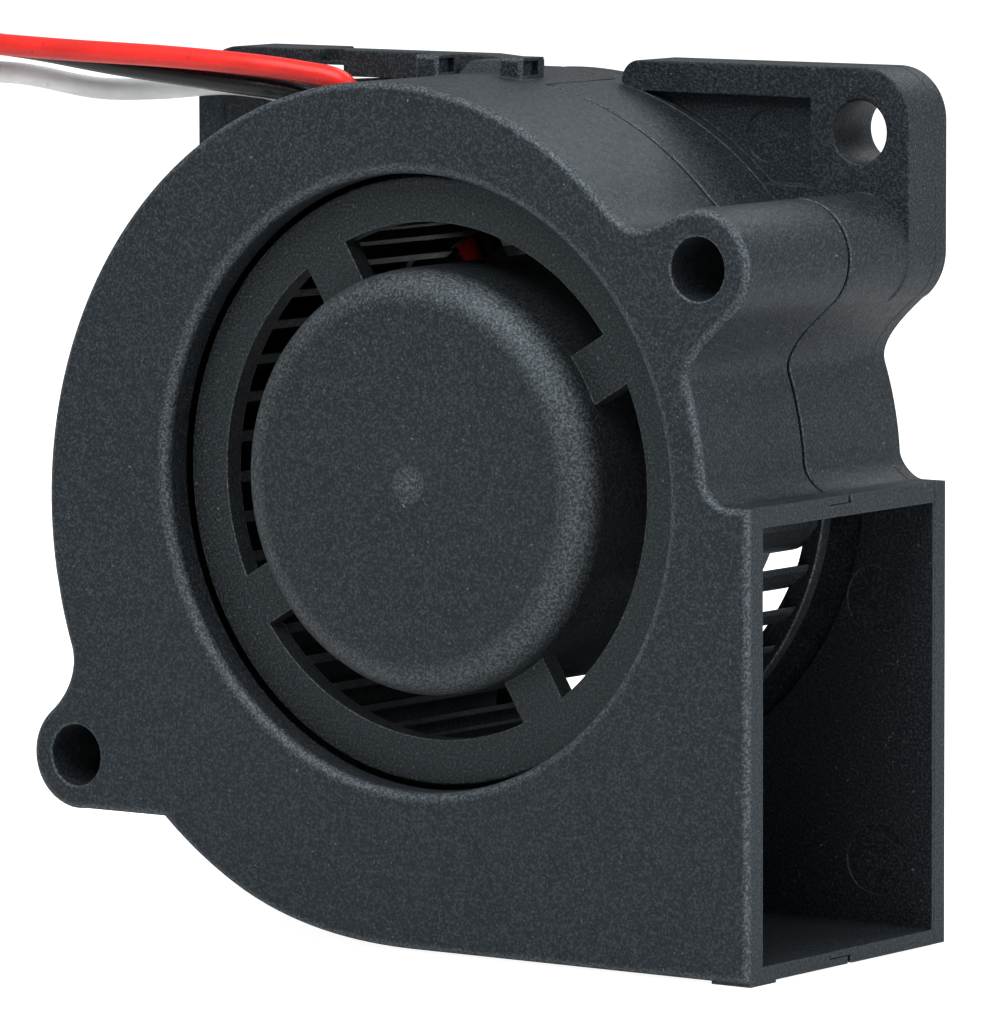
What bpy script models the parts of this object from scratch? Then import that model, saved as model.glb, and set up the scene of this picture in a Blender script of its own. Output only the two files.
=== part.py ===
"""A small centrifugal blower fan: a two-piece scroll housing with a square outlet, an impeller
turning on two ball bearings, an outer-rotor motor inside its hub, and three lead wires.

Every piece is modelled lying on its back, with the rear mounting face on the plane h = 0 and the
impeller's axis along h. One empty then stands the whole blower upright, so that in the world the
axis runs along Y, the front faces -Y, the outlet faces +X and +Z is up. In the helpers below
(x, z) are therefore the world's X and Z, and h is the height above the rear face, which is -Y.
"""

import math

import bmesh
import bpy
from mathutils import Matrix

MM = 0.001

# Driving dimensions, in millimetres.
THICKNESS = 20.0          # front face to rear face
OUTLET_X = 22.8           # plane of the outlet's end
OUTLET_TOP_Z = -0.1       # top of the outlet duct
BOTTOM_Z = -26.35         # underside of the scroll and the outlet duct
FLANGE_TOP_Z = 23.2       # top of the rear flange
INLET_RADIUS = 17.4       # round inlet in the front cover
HUB_RADIUS = 12.05        # impeller hub
BLADE_COUNT = 40
FIRST_BLADE_DEG = 2.6
PLATE_INNER_RADIUS = 14.6
BLADE_INNER_RADIUS = 14.8
BLADE_OUTER_RADIUS = 16.95
SHAFT_RADIUS = 1.5
HOLE_RADIUS = 1.77        # mounting holes, clearance for a 3 mm screw
LEAD_RADIUS = 0.65        # over the insulation
CORE_RADIUS = 0.3         # the bare conductor
CLEARANCE = 0.3           # between neighbouring pieces
FINE_CLEARANCE = 0.1      # between pieces pressed or glued together

# Housing.
SIDE_WALL = 0.85
FRONT_WALL = 1.5
REAR_WALL = 1.5
PARTING_H = 9.8           # where the front cover meets the rear housing
SCROLL_START_RADIUS = 19.8
CUTOFF_DEG = 4.0          # where the outlet's top meets the wall round the impeller
SCROLL_START_DEG = 24.0   # the wall is round the axis up to here, then it opens
SCROLL_GROWTH = 0.039     # millimetres of radius per degree
SCROLL_FULL_RADIUS = 26.9
SCROLL_TURN_IN_DEG = 240.0
BOSS = (19.45, 12.9)      # upper right mounting boss, right through the housing
BOSS_RADIUS = 3.3
EAR = (-24.1, -17.05)     # lower left mounting ear
EAR_RADIUS = 3.15
FLANGE_THICKNESS = 4.0
FLANGE_LEFT_X = -26.85
FLANGE_CORNER = 3.0
FLANGE_HOLE = (BOSS[0], 19.6)
RIGHT_RIB_START = 3.2     # where the right flange's top rib begins
LEFT_RIB_END = -3.6       # where the left flange's top rib ends
RIB_BACK_START = -18.7    # right of this the left rib is only a thin wall at the flange's front
RIB_BACK_H = 2.0
WEB_THICKNESS = 3.0       # the flange's thin field between its rib and the scroll
RIB_HEIGHT = 1.8
WINDOW_LEFT = -22.3       # the lead window in the left flange
WINDOW_RIGHT = -16.55
WINDOW_TOP = 22.3
WINDOW_FOOT = 15.5
HOOK_CENTRES = (-5.575, 0.3)
HOOK_WIDTH = 1.6
HOOK_TOP = 23.5
HOOK_FRONT_H = 10.85
LUG_X = (-4.2, -0.85)     # the catch between the hooks
LUG_H = (6.2, 8.6)
LUG_TOP = 23.2

# Motor seat in the rear housing.
BASE_RADIUS = 12.0
BASE_FLOOR = 0.9
BASE_RIM_H = 3.7
BASE_WALL = 0.7
REAR_INLET_RADIUS = 14.5
STRUT_DEGREES = (10.0, 250.0)
STRUT_WIDTH = 2.2
LEAD_CHANNEL_DEG = 122.5  # the strut that carries the lead wires
LEAD_CHANNEL_WIDTH = 4.7
LEAD_PITCH = 1.45
LEAD_SIDE_WALL = 0.6
LEAD_GAP_H = 4.9          # top of the gap in the scroll's wall
LEAD_COVER = (15.2, 21.5, 2.5, 2.9)   # inner end, outer end, bottom and top of the strip over the leads

# Impeller.
HUB_FRONT_H = THICKNESS + 0.3
HUB_SKIRT_H = 4.0
HUB_WALL = 0.8
HUB_ROUND = 2.0
HUB_TOP_WALL = 1.3
BUSH_SEAT = (3.1, 4.2, 13.4)   # bore, outer radius and foot of the hub's socket for the bush
PLATE_FRONT_H = 17.85
PLATE_BACK_H = 16.55
PLATE_OUTER_RADIUS = 17.15
SPOKE_DEGREES = (31.0, 121.0, 211.0, 301.0)
SPOKE_WIDTH = 3.1
BACK_RING_H = (3.3, 4.2)
BACK_RING_INNER_RADIUS = 16.2
BACK_RING_OUTER_RADIUS = 17.35
BLADE_THICKNESS = 0.62

# Motor.
BEARING_RADIUS = 3.5
BEARING_WIDTH = 2.0
REAR_BEARING_H = 2.6
FRONT_BEARING_H = 9.6
BALL_RADIUS = 0.5
BALL_COUNT = 7
BALL_PITCH_RADIUS = 2.5
TUBE_RADIUS = 4.3
STATOR_H = (5.7, 9.3)
POLE_COUNT = 4
POLE_TIP_RADIUS = 9.4
MAGNET_RADII = (9.75, 10.6)
YOKE_RADIUS = 11.15
BOARD_H = (2.8, 3.6)
BOARD_RADIUS = 10.9

ROUND_STEPS = 32
OVERSHOOT = 0.5           # how far a cutter runs past the surface it cuts

PLASTIC = ((0.035, 0.037, 0.040), 0.55, 0.0)
HUB_PLASTIC = ((0.030, 0.031, 0.034), 0.50, 0.0)
STEEL = ((0.55, 0.56, 0.58), 0.30, 1.0)
LAMINATION = ((0.32, 0.33, 0.35), 0.45, 1.0)
MAGNET = ((0.10, 0.09, 0.09), 0.70, 0.0)
BRASS = ((0.72, 0.55, 0.25), 0.35, 1.0)
COPPER = ((0.72, 0.33, 0.14), 0.30, 1.0)
BOBBIN = ((0.75, 0.74, 0.68), 0.50, 0.0)
BOARD_GREEN = ((0.04, 0.22, 0.10), 0.45, 0.0)
CHIP_BLACK = ((0.02, 0.02, 0.02), 0.45, 0.0)
CERAMIC = ((0.45, 0.33, 0.22), 0.50, 0.0)
TIN = ((0.75, 0.75, 0.74), 0.30, 1.0)
RED_PVC = ((0.80, 0.06, 0.05), 0.35, 0.0)
BLACK_PVC = ((0.02, 0.02, 0.02), 0.35, 0.0)
WHITE_PVC = ((0.80, 0.80, 0.80), 0.35, 0.0)


# ---- points and outlines, in millimetres --------------------------------------------------

def polar(radius, degrees, centre=(0.0, 0.0)):
    angle = math.radians(degrees)
    return (centre[0] + radius * math.cos(angle), centre[1] + radius * math.sin(angle))


def arc(centre, radius, start, end, steps):
    """Points from start to end degrees round centre, both ends included."""
    return [polar(radius, start + (end - start) * i / steps, centre) for i in range(steps + 1)]


def circle(centre, radius, steps=ROUND_STEPS):
    return arc(centre, radius, 0.0, 360.0, steps)[:-1]


def heading(degrees):
    return polar(1.0, degrees)


def sweep(start, start_heading, end, end_heading, pull, steps=6):
    """A smooth bend between two points, leaving and arriving along the given headings."""
    points = []
    for i in range(1, steps):
        t = i / steps
        weights = (2 * t**3 - 3 * t**2 + 1, t**3 - 2 * t**2 + t, -2 * t**3 + 3 * t**2, t**3 - t**2)
        points.append(tuple(
            weights[0] * start[k] + weights[1] * pull * start_heading[k]
            + weights[2] * end[k] + weights[3] * pull * end_heading[k]
            for k in range(2)
        ))
    return points


def scroll_radius(degrees):
    """Outer radius of the scroll wall, opening from the cut-off round to the outlet floor."""
    grown = SCROLL_START_RADIUS + SCROLL_GROWTH * max(0.0, degrees - SCROLL_START_DEG)
    turn_in = max(0.0, degrees - SCROLL_TURN_IN_DEG) / (270.0 - SCROLL_TURN_IN_DEG)
    turn_in = turn_in * turn_in * (3.0 - 2.0 * turn_in)
    return min(grown, SCROLL_FULL_RADIUS) + turn_in * (-BOTTOM_Z - SCROLL_FULL_RADIUS)


def scroll(start, end, steps, inset=0.0):
    span = [start + (end - start) * i / steps for i in range(steps + 1)]
    return [polar(scroll_radius(a) - inset, a) for a in span]


def outlet_corner():
    """Top of the outlet and the hollow corner where it meets the cut-off wall."""
    corner = (SCROLL_START_RADIUS + 1.5, OUTLET_TOP_Z)
    wall = polar(SCROLL_START_RADIUS, CUTOFF_DEG)
    return [(OUTLET_X, OUTLET_TOP_Z), corner] + sweep(
        corner, (-1.0, 0.0), wall, heading(CUTOFF_DEG + 90.0), 1.8, 5)


def boss_side(boss_end):
    """Right side of the housing, up the cut-off wall and round the boss to boss_end degrees."""
    wall = scroll(CUTOFF_DEG, 19.0, 4)
    boss = arc(BOSS, BOSS_RADIUS, -49.5, boss_end, 12)
    return wall + sweep(wall[-1], heading(109.0), boss[0], heading(40.5), 4.0) + boss


def valley(after_deg):
    """The dip between the boss and the scroll."""
    boss_end = polar(BOSS_RADIUS, 115.0, BOSS)
    return sweep(boss_end, heading(205.0), polar(scroll_radius(after_deg), after_deg),
                 heading(after_deg + 86.0), 7.5)


def ear_outline():
    """The lower left ear, from the scroll round the ear and back to the scroll."""
    leave, back = 203.0, 228.5
    ear = arc(EAR, EAR_RADIUS, 130.0, 279.0, 14)
    start = polar(scroll_radius(leave), leave)
    points = scroll(198.0, leave, 1)
    points += sweep(start, heading(leave + 90.0), ear[0], heading(220.0), 5.0)
    return points + ear + [polar(scroll_radius(back), back)]


def body_outline():
    """Outside of the housing, seen from the front, anticlockwise from the outlet's top corner."""
    valley_end = 50.5
    points = outlet_corner() + boss_side(115.0)
    points += valley(valley_end)
    points += scroll(valley_end, 194.0, 36)
    points += ear_outline()
    points += scroll(231.0, 270.0, 10)
    return points + [(OUTLET_X, BOTTOM_Z)]


def cavity_outline():
    """Inside of the scroll and duct, running out past the outlet's end."""
    top = OUTLET_TOP_Z - SIDE_WALL
    nose = SCROLL_START_RADIUS - SIDE_WALL
    end = OUTLET_X + 2.0
    points = [(end, top), (nose + 0.6, top)]
    points += sweep(points[-1], (-1.0, 0.0), polar(nose, 1.0), heading(91.0), 1.2, 4)
    points += scroll(1.0, 270.0, 60, SIDE_WALL)
    return points + [(end, BOTTOM_Z + SIDE_WALL)]


def right_flange_outline():
    """Rear flange on the right: from the boss up to the top corner and in along the rib."""
    proud = BOSS_RADIUS + 0.1
    corner = (BOSS[0] + proud - FLANGE_CORNER, FLANGE_TOP_Z - FLANGE_CORNER)
    points = arc(BOSS, proud, -50.0, 0.0, 5)
    points += arc(corner, FLANGE_CORNER, 0.0, 90.0, 8)
    end_round = 1.2
    points += arc((RIGHT_RIB_START + end_round, FLANGE_TOP_Z - end_round), end_round, 90.0, 180.0, 5)
    return points + scroll(80.0, CUTOFF_DEG + 20.0, 10, SIDE_WALL / 2)


def left_flange_outline():
    """Rear flange on the left, with a rib along its top that slopes down to its right end."""
    left = FLANGE_LEFT_X
    corner = (left + FLANGE_CORNER, FLANGE_TOP_Z - FLANGE_CORNER)
    foot = (left + FLANGE_CORNER, 14.0)
    slope_run, slope_drop = 3.1, 0.25
    points = [(LEFT_RIB_END, 21.9), (LEFT_RIB_END, FLANGE_TOP_Z - slope_drop),
              (LEFT_RIB_END - slope_run, FLANGE_TOP_Z)]
    points += arc(corner, FLANGE_CORNER, 90.0, 180.0, 8)
    points += arc(foot, FLANGE_CORNER, 180.0, 250.0, 6)
    return points + scroll(152.0, 100.0, 10, SIDE_WALL / 2)


def blade_outline(degrees):
    """One forward-curved blade's section: a thin crescent leaning into the turn at its tip."""
    outer_side, inner_side = [], []
    steps = 3
    for i in range(steps + 1):
        t = i / steps
        radius = BLADE_INNER_RADIUS + (BLADE_OUTER_RADIUS - BLADE_INNER_RADIUS) * t
        lean = degrees + 7.0 * t * t
        half = math.degrees(BLADE_THICKNESS * (0.5 - 0.18 * t) / radius)
        outer_side.append(polar(radius, lean - half))
        inner_side.append(polar(radius, lean + half))
    return outer_side + inner_side[::-1]


def rounded_box(width, height, corner, steps=3):
    w, h = width / 2 - corner, height / 2 - corner
    points = []
    for k, (cx, cz) in enumerate(((w, h), (-w, h), (-w, -h), (w, -h))):
        points += arc((cx, cz), corner, 90.0 * k, 90.0 * k + 90.0, steps)
    return points


def strip(degrees, width, start, end):
    """A straight strip running outwards along one direction."""
    ux, uz = heading(degrees)
    corners = ((start, -width / 2), (end, -width / 2), (end, width / 2), (start, width / 2))
    return [(a * ux - b * uz, a * uz + b * ux) for a, b in corners]


# ---- building blocks ----------------------------------------------------------------------

def start_clean():
    for thing in list(bpy.data.objects):
        bpy.data.objects.remove(thing, do_unlink=True)


def new_collection(name):
    made = bpy.data.collections.new(name)
    bpy.context.scene.collection.children.link(made)
    return made


def new_material(name, look):
    colour, roughness, metallic = look
    made = bpy.data.materials.new(name)
    made.use_nodes = True
    made.diffuse_color = (*colour, 1.0)
    shader = made.node_tree.nodes["Principled BSDF"]
    shader.inputs["Base Color"].default_value = (*colour, 1.0)
    shader.inputs["Roughness"].default_value = roughness
    shader.inputs["Metallic"].default_value = metallic
    return made


class Workshop:
    """Places finished pieces and cutters in their collections, under their parent empties."""

    def __init__(self):
        start_clean()
        self.pieces = new_collection("blower_fan")
        self.cutters = new_collection("cutters")
        self.stand = self.empty("stand", None)
        self.stand.rotation_euler = (math.radians(90.0), 0.0, 0.0)
        self.spin_axis = self.empty("spin_axis", self.stand)
        bpy.context.view_layer.update()

    def empty(self, name, parent):
        made = bpy.data.objects.new(name, None)
        self.pieces.objects.link(made)
        made.parent = parent
        return made

    def add(self, name, mesh, look, turning=False, matrix=None):
        """A named piece with its own material. look None makes a cutter."""
        made = bpy.data.objects.new(name, mesh)
        made.parent = self.spin_axis if turning else self.stand
        if matrix is not None:
            made.matrix_local = matrix
        if look is None:
            self.cutters.objects.link(made)
            made.hide_render = True
            made.display_type = "WIRE"
        else:
            self.pieces.objects.link(made)
            mesh.materials.clear()
            mesh.materials.append(new_material(name, look))
        return made

    def boolean(self, target, operation, tool):
        step = target.modifiers.new(operation.lower() + "_" + tool.name, "BOOLEAN")
        step.operation = operation
        step.object = tool
        step.solver = "EXACT"

    def cut(self, target, tool):
        self.boolean(target, "DIFFERENCE", tool)

    def join(self, target, tool):
        self.boolean(target, "UNION", tool)


def curve_to_mesh(name, curve):
    """The solid that a curve makes, as a closed mesh."""
    holder = bpy.data.objects.new(name, curve)
    bpy.context.scene.collection.objects.link(holder)
    bpy.context.view_layer.update()
    graph = bpy.context.evaluated_depsgraph_get()
    mesh = bpy.data.meshes.new_from_object(holder.evaluated_get(graph))
    bpy.data.objects.remove(holder)
    bpy.data.curves.remove(curve)
    work = bmesh.new()
    work.from_mesh(mesh)
    bmesh.ops.remove_doubles(work, verts=work.verts, dist=0.002 * MM)
    bmesh.ops.recalc_face_normals(work, faces=work.faces)
    work.to_mesh(mesh)
    work.free()
    mesh.name = name
    return mesh


def plate(name, outlines, bottom, top):
    """Flat piece between two heights. The first outline is its edge and the others are holes."""
    curve = bpy.data.curves.new(name, "CURVE")
    curve.dimensions = "2D"
    curve.fill_mode = "BOTH"
    curve.extrude = (top - bottom) / 2 * MM
    for outline in outlines:
        spline = curve.splines.new("POLY")
        spline.points.add(len(outline) - 1)
        spline.use_cyclic_u = True
        for point, (x, z) in zip(spline.points, outline):
            point.co = (x * MM, z * MM, 0.0, 1.0)
    mesh = curve_to_mesh(name, curve)
    mesh.transform(Matrix.Translation((0.0, 0.0, (top + bottom) / 2 * MM)))
    return mesh


def turned(workshop, name, profile, look, turning=False, steps=ROUND_STEPS):
    """A turned piece. The profile holds (radius, height), down the outer side and back inside."""
    mesh = bpy.data.meshes.new(name)
    closed = profile[0][0] > 0.0
    points = [(r * MM, 0.0, h * MM) for r, h in profile]
    edges = [(i, i + 1) for i in range(len(points) - 1)]
    if closed:
        edges.append((len(points) - 1, 0))
    mesh.from_pydata(points, edges, [])
    made = workshop.add(name, mesh, look, turning)
    screw = made.modifiers.new("turn", "SCREW")
    screw.axis = "Z"
    screw.steps = steps
    screw.render_steps = steps
    screw.use_merge_vertices = True
    screw.merge_threshold = 0.001 * MM
    screw.use_smooth_shade = False
    return made


def ring(bottom, top, outer, inner):
    """Profile of a plain ring for turned()."""
    return [(outer, top), (outer, bottom), (inner, bottom), (inner, top)]


def tube(name, path, radius, resolution=2):
    """Round wire or rod along a path of (x, z, h) points, with closed ends."""
    curve = bpy.data.curves.new(name, "CURVE")
    curve.dimensions = "3D"
    curve.bevel_depth = radius * MM
    curve.bevel_resolution = resolution
    curve.use_fill_caps = True
    spline = curve.splines.new("POLY")
    spline.points.add(len(path) - 1)
    for point, (x, z, h) in zip(spline.points, path):
        point.co = (x * MM, z * MM, h * MM, 1.0)
    return curve_to_mesh(name, curve)


def block(width, depth, height):
    """A plain box round its own middle, to be placed with a matrix."""
    mesh = bpy.data.meshes.new("block")
    work = bmesh.new()
    bmesh.ops.create_cube(work, size=1.0)
    bmesh.ops.scale(work, verts=work.verts, vec=(width * MM, depth * MM, height * MM))
    work.to_mesh(mesh)
    work.free()
    return mesh


def place(x, z, h, degrees=0.0):
    spin = Matrix.Rotation(math.radians(degrees), 4, "Z")
    return Matrix.Translation((x * MM, z * MM, h * MM)) @ spin


# ---- housing ------------------------------------------------------------------------------

def mounting_holes(centres):
    return [circle(centre, HOLE_RADIUS, 24) for centre in centres]


def front_cover(workshop):
    outlines = [body_outline(), circle((0.0, 0.0), INLET_RADIUS, 64)] + mounting_holes((BOSS, EAR))
    bottom = PARTING_H + CLEARANCE / 2
    cover = workshop.add("front_cover", plate("front_cover", outlines, bottom, THICKNESS), PLASTIC)
    cavity = plate("cover_cavity", [cavity_outline()], bottom - OVERSHOOT, THICKNESS - FRONT_WALL)
    workshop.cut(cover, workshop.add("cover_cavity", cavity, None))
    for k, x in enumerate(HOOK_CENTRES):
        hook(workshop, cover, k, x)
    return cover


def hook(workshop, cover, index, x):
    """Snap hook on top of the cover: a root on its wall and an arm that reaches over the parting."""
    root_low, arm_low = 21.6, 22.9
    root_back_h, arm_back_h = PARTING_H + CLEARANCE, 8.55
    for part, low, back in (("root", root_low, root_back_h), ("arm", arm_low, arm_back_h)):
        solid = block(HOOK_WIDTH, HOOK_TOP - low, HOOK_FRONT_H - back)
        spot = place(x, (low + HOOK_TOP) / 2, (back + HOOK_FRONT_H) / 2)
        workshop.join(cover, workshop.add(f"hook_{part}_{index}", solid, None, matrix=spot))


def window_outline():
    """Window beside the scroll that lets the leads through the left flange, under its rib."""
    under_rib = 21.65
    along_scroll = scroll(140.2, 118.0, 6, -0.05)
    points = [(WINDOW_LEFT, WINDOW_TOP), (WINDOW_LEFT, WINDOW_FOOT)] + along_scroll
    points.append((along_scroll[-1][0], under_rib))
    return points + [(WINDOW_RIGHT, under_rib), (WINDOW_RIGHT, WINDOW_TOP)]


def flange_field():
    """Thin field of the right flange, between the rib, the hole's pad and the scroll."""
    rib_edge = FLANGE_TOP_Z - RIB_HEIGHT
    pad_margin, foot_z = 1.5, 16.4
    pad_edge = FLANGE_HOLE[0] - HOLE_RADIUS - pad_margin
    return [(pad_edge, rib_edge)] + scroll(78.0, 52.0, 9, -0.05) + [(pad_edge, foot_z)]


def rib_back_outline():
    """The part behind the left rib that is left out to the right of the flange's body."""
    low, high = 22.4, FLANGE_TOP_Z + OVERSHOOT
    end = LEFT_RIB_END + OVERSHOOT
    return [(RIB_BACK_START, low), (end, low), (end, high), (RIB_BACK_START, high)]


def lug_outline():
    left, right = LUG_X
    foot = 21.6
    return [(left, foot), (right, foot), (right, LUG_TOP), (left, LUG_TOP)]


def join_plate(workshop, target, name, outlines, bottom, top):
    workshop.join(target, workshop.add(name, plate(name, outlines, bottom, top), None))


def cut_plate(workshop, target, name, outline, bottom, top):
    workshop.cut(target, workshop.add(name, plate(name, [outline], bottom, top), None))


def rear_housing(workshop):
    body_top = PARTING_H - CLEARANCE / 2
    shell = plate("rear_housing", [body_outline()] + mounting_holes((BOSS, EAR)), 0.0, body_top)
    housing = workshop.add("rear_housing", shell, PLASTIC)
    right = [right_flange_outline()] + mounting_holes((FLANGE_HOLE, BOSS))
    join_plate(workshop, housing, "right_flange", right, 0.0, FLANGE_THICKNESS)
    join_plate(workshop, housing, "left_flange", [left_flange_outline()], 0.0, FLANGE_THICKNESS)
    join_plate(workshop, housing, "catch_lug", [lug_outline()], *LUG_H)
    above_flange, above_wall = FLANGE_THICKNESS + OVERSHOOT, REAR_WALL + OVERSHOOT
    cut_plate(workshop, housing, "flange_field", flange_field(), WEB_THICKNESS, above_flange)
    cut_plate(workshop, housing, "rib_back", rib_back_outline(), -OVERSHOOT, RIB_BACK_H)
    cut_plate(workshop, housing, "housing_cavity", cavity_outline(), REAR_WALL, body_top + OVERSHOOT)
    rear_inlet = circle((0.0, 0.0), REAR_INLET_RADIUS, 56)
    cut_plate(workshop, housing, "rear_inlet", rear_inlet, -OVERSHOOT, above_wall)
    cut_plate(workshop, housing, "lead_window", window_outline(), -OVERSHOOT, above_flange)
    workshop.join(housing, motor_base(workshop))
    add_struts(workshop, housing)
    add_lead_channel(workshop, housing)
    return housing


def motor_base(workshop):
    """The cup that holds the motor: floor, rim and the collar round the bearing tube."""
    rim = BASE_RADIUS - BASE_WALL
    collar_inner, collar_outer, collar_h = TUBE_RADIUS + FINE_CLEARANCE, TUBE_RADIUS + 0.9, 2.3
    profile = [
        (0.0, BASE_FLOOR), (collar_inner, BASE_FLOOR), (collar_inner, collar_h), (collar_outer, collar_h),
        (collar_outer, BASE_FLOOR), (rim, BASE_FLOOR), (rim, BASE_RIM_H), (BASE_RADIUS, BASE_RIM_H),
        (BASE_RADIUS, 0.0), (0.0, 0.0),
    ]
    return turned(workshop, "motor_base", profile, None)


def add_struts(workshop, housing):
    """Two plain struts, and a wider one that carries the leads."""
    start, end = BASE_RADIUS - BASE_WALL / 2, REAR_INLET_RADIUS + 1.0
    for k, degrees in enumerate(STRUT_DEGREES):
        strut = strip(degrees, STRUT_WIDTH, start, end)
        join_plate(workshop, housing, f"strut_{k}", [strut], 0.0, REAR_WALL)
    bed = strip(LEAD_CHANNEL_DEG, LEAD_CHANNEL_WIDTH + 2 * LEAD_SIDE_WALL, start, end)
    join_plate(workshop, housing, "lead_bed", [bed], 0.0, REAR_WALL)


def add_lead_channel(workshop, housing):
    """Channel from the motor out through the scroll's wall, roofed over where the impeller turns."""
    start, end, bottom, top = LEAD_COVER
    roof = strip(LEAD_CHANNEL_DEG, LEAD_CHANNEL_WIDTH + 2 * LEAD_SIDE_WALL, start, end)
    join_plate(workshop, housing, "lead_roof", [roof], REAR_WALL - 0.1, top)
    inside, outside = BASE_RADIUS - 2.0, 24.2
    tunnel = strip(LEAD_CHANNEL_DEG, LEAD_CHANNEL_WIDTH, inside, outside)
    cut_plate(workshop, housing, "lead_tunnel", tunnel, BASE_FLOOR, bottom)
    rim_gap = strip(LEAD_CHANNEL_DEG, LEAD_CHANNEL_WIDTH, inside, BASE_RADIUS + 1.0)
    cut_plate(workshop, housing, "lead_rim_gap", rim_gap, BASE_FLOOR, BASE_RIM_H + OVERSHOOT)
    wall_gap = strip(LEAD_CHANNEL_DEG, LEAD_CHANNEL_WIDTH, end, outside)
    cut_plate(workshop, housing, "lead_wall_gap", wall_gap, BASE_FLOOR, LEAD_GAP_H)


# ---- impeller and rotor -------------------------------------------------------------------

def impeller(workshop):
    """Hub cup, slotted front plate, curved blades and back ring, moulded as one piece."""
    hub = turned(workshop, "impeller", hub_profile(), HUB_PLASTIC, turning=True, steps=44)
    plate_rim = circle((0.0, 0.0), PLATE_OUTER_RADIUS, 56)
    plate_edge = circle((0.0, 0.0), PLATE_INNER_RADIUS, 48)
    ring_rim = circle((0.0, 0.0), BACK_RING_OUTER_RADIUS, 56)
    ring_edge = circle((0.0, 0.0), BACK_RING_INNER_RADIUS, 56)
    join_turning(workshop, hub, "front_plate", [plate_rim, plate_edge], PLATE_BACK_H, PLATE_FRONT_H)
    join_turning(workshop, hub, "back_ring", [ring_rim, ring_edge], *BACK_RING_H)
    spoke_set_back = 0.1
    for k, degrees in enumerate(SPOKE_DEGREES):
        spoke = strip(degrees, SPOKE_WIDTH, HUB_RADIUS - HUB_WALL / 2, PLATE_INNER_RADIUS + 0.6)
        join_turning(workshop, hub, f"spoke_{k}", [spoke], PLATE_BACK_H + spoke_set_back,
                     PLATE_FRONT_H - spoke_set_back)
    workshop.join(hub, blade_ring(workshop))
    return hub


def hub_profile():
    """A cup with a rounded front edge and a socket for the shaft's bush inside."""
    inside = HUB_RADIUS - HUB_WALL
    ceiling = HUB_FRONT_H - HUB_TOP_WALL
    bore, boss, foot = BUSH_SEAT
    edge = arc((HUB_RADIUS - HUB_ROUND, HUB_FRONT_H - HUB_ROUND), HUB_ROUND, 90.0, 0.0, 5)
    profile = [(0.0, HUB_FRONT_H)] + edge
    profile += [(HUB_RADIUS, HUB_SKIRT_H), (inside, HUB_SKIRT_H), (inside, ceiling - 1.0)]
    profile += [(inside - 1.0, ceiling), (boss, ceiling), (boss, foot), (bore, foot)]
    return profile + [(bore, ceiling - 0.1), (0.0, ceiling - 0.1)]


def join_turning(workshop, target, name, outlines, bottom, top):
    workshop.join(target, workshop.add(name, plate(name, outlines, bottom, top), None, turning=True))


def blade_ring(workshop):
    """All the blades as one tool: equal turned copies of the same section."""
    work = bmesh.new()
    single = plate("blade", [blade_outline(FIRST_BLADE_DEG)], BACK_RING_H[0] + 0.3, PLATE_BACK_H + 0.5)
    for k in range(BLADE_COUNT):
        copy = single.copy()
        copy.transform(Matrix.Rotation(math.radians(360.0 * k / BLADE_COUNT), 4, "Z"))
        work.from_mesh(copy)
        bpy.data.meshes.remove(copy)
    work.to_mesh(single)
    work.free()
    return workshop.add("blades", single, None, turning=True)


def rotor_yoke(workshop):
    """Deep-drawn steel cup behind the hub that closes the magnet's field."""
    wall = 0.45
    inner = YOKE_RADIUS - wall
    profile = [(YOKE_RADIUS, 13.2), (YOKE_RADIUS, 4.3), (inner, 4.3), (inner, 13.2 - wall),
               (4.6, 13.2 - wall), (4.6, 13.2)]
    return turned(workshop, "rotor_yoke", profile, STEEL, turning=True)


def rotor_magnet(workshop):
    inner, outer = MAGNET_RADII
    return turned(workshop, "rotor_magnet", ring(4.5, 11.6, outer, inner), MAGNET, turning=True)


def shaft(workshop):
    groove_r, low, high = 1.1, 1.9, 2.3
    profile = [(0.0, 18.7), (SHAFT_RADIUS - 0.3, 18.7), (SHAFT_RADIUS, 18.4), (SHAFT_RADIUS, high),
               (groove_r, high), (groove_r, low), (SHAFT_RADIUS, low), (SHAFT_RADIUS, 1.5),
               (SHAFT_RADIUS - 0.2, 1.3), (0.0, 1.3)]
    return turned(workshop, "shaft", profile, STEEL, turning=True, steps=24)


def shaft_bush(workshop):
    profile = ring(13.0, 18.6, 3.0, SHAFT_RADIUS + FINE_CLEARANCE)
    return turned(workshop, "shaft_bush", profile, BRASS, turning=True, steps=32)


def retaining_clip(workshop):
    """Open steel ring that snaps into the shaft's groove behind the rear bearing."""
    opening = 40.0
    outline = arc((0.0, 0.0), 2.2, opening, 360.0 - opening, 24)
    outline += arc((0.0, 0.0), 1.2, 360.0 - opening, opening, 24)
    mesh = plate("retaining_clip", [outline], 1.98, 2.22)
    return workshop.add("retaining_clip", mesh, STEEL, turning=True)


def thrust_washer(workshop):
    profile = ring(12.0, 12.35, 2.6, SHAFT_RADIUS + FINE_CLEARANCE)
    return turned(workshop, "thrust_washer", profile, BOBBIN, turning=True, steps=28)


# ---- bearings -----------------------------------------------------------------------------

def race_profile(wall, back, middle, groove):
    """A ball race: a ring from radius wall to radius back, with a round groove on the back."""
    half = BEARING_WIDTH / 2
    outwards = 1.0 if wall > back else -1.0
    span = math.degrees(math.asin(abs(BALL_PITCH_RADIUS - back) / groove))
    track = [(BALL_PITCH_RADIUS + outwards * r, middle + h)
             for r, h in arc((0.0, 0.0), groove, span - 90.0, 90.0 - span, 3)]
    profile = [(wall, middle + half), (wall, middle - half), (back, middle - half)] + track
    profile.append((back, middle + half))
    return profile if outwards > 0.0 else profile[::-1]


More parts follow.
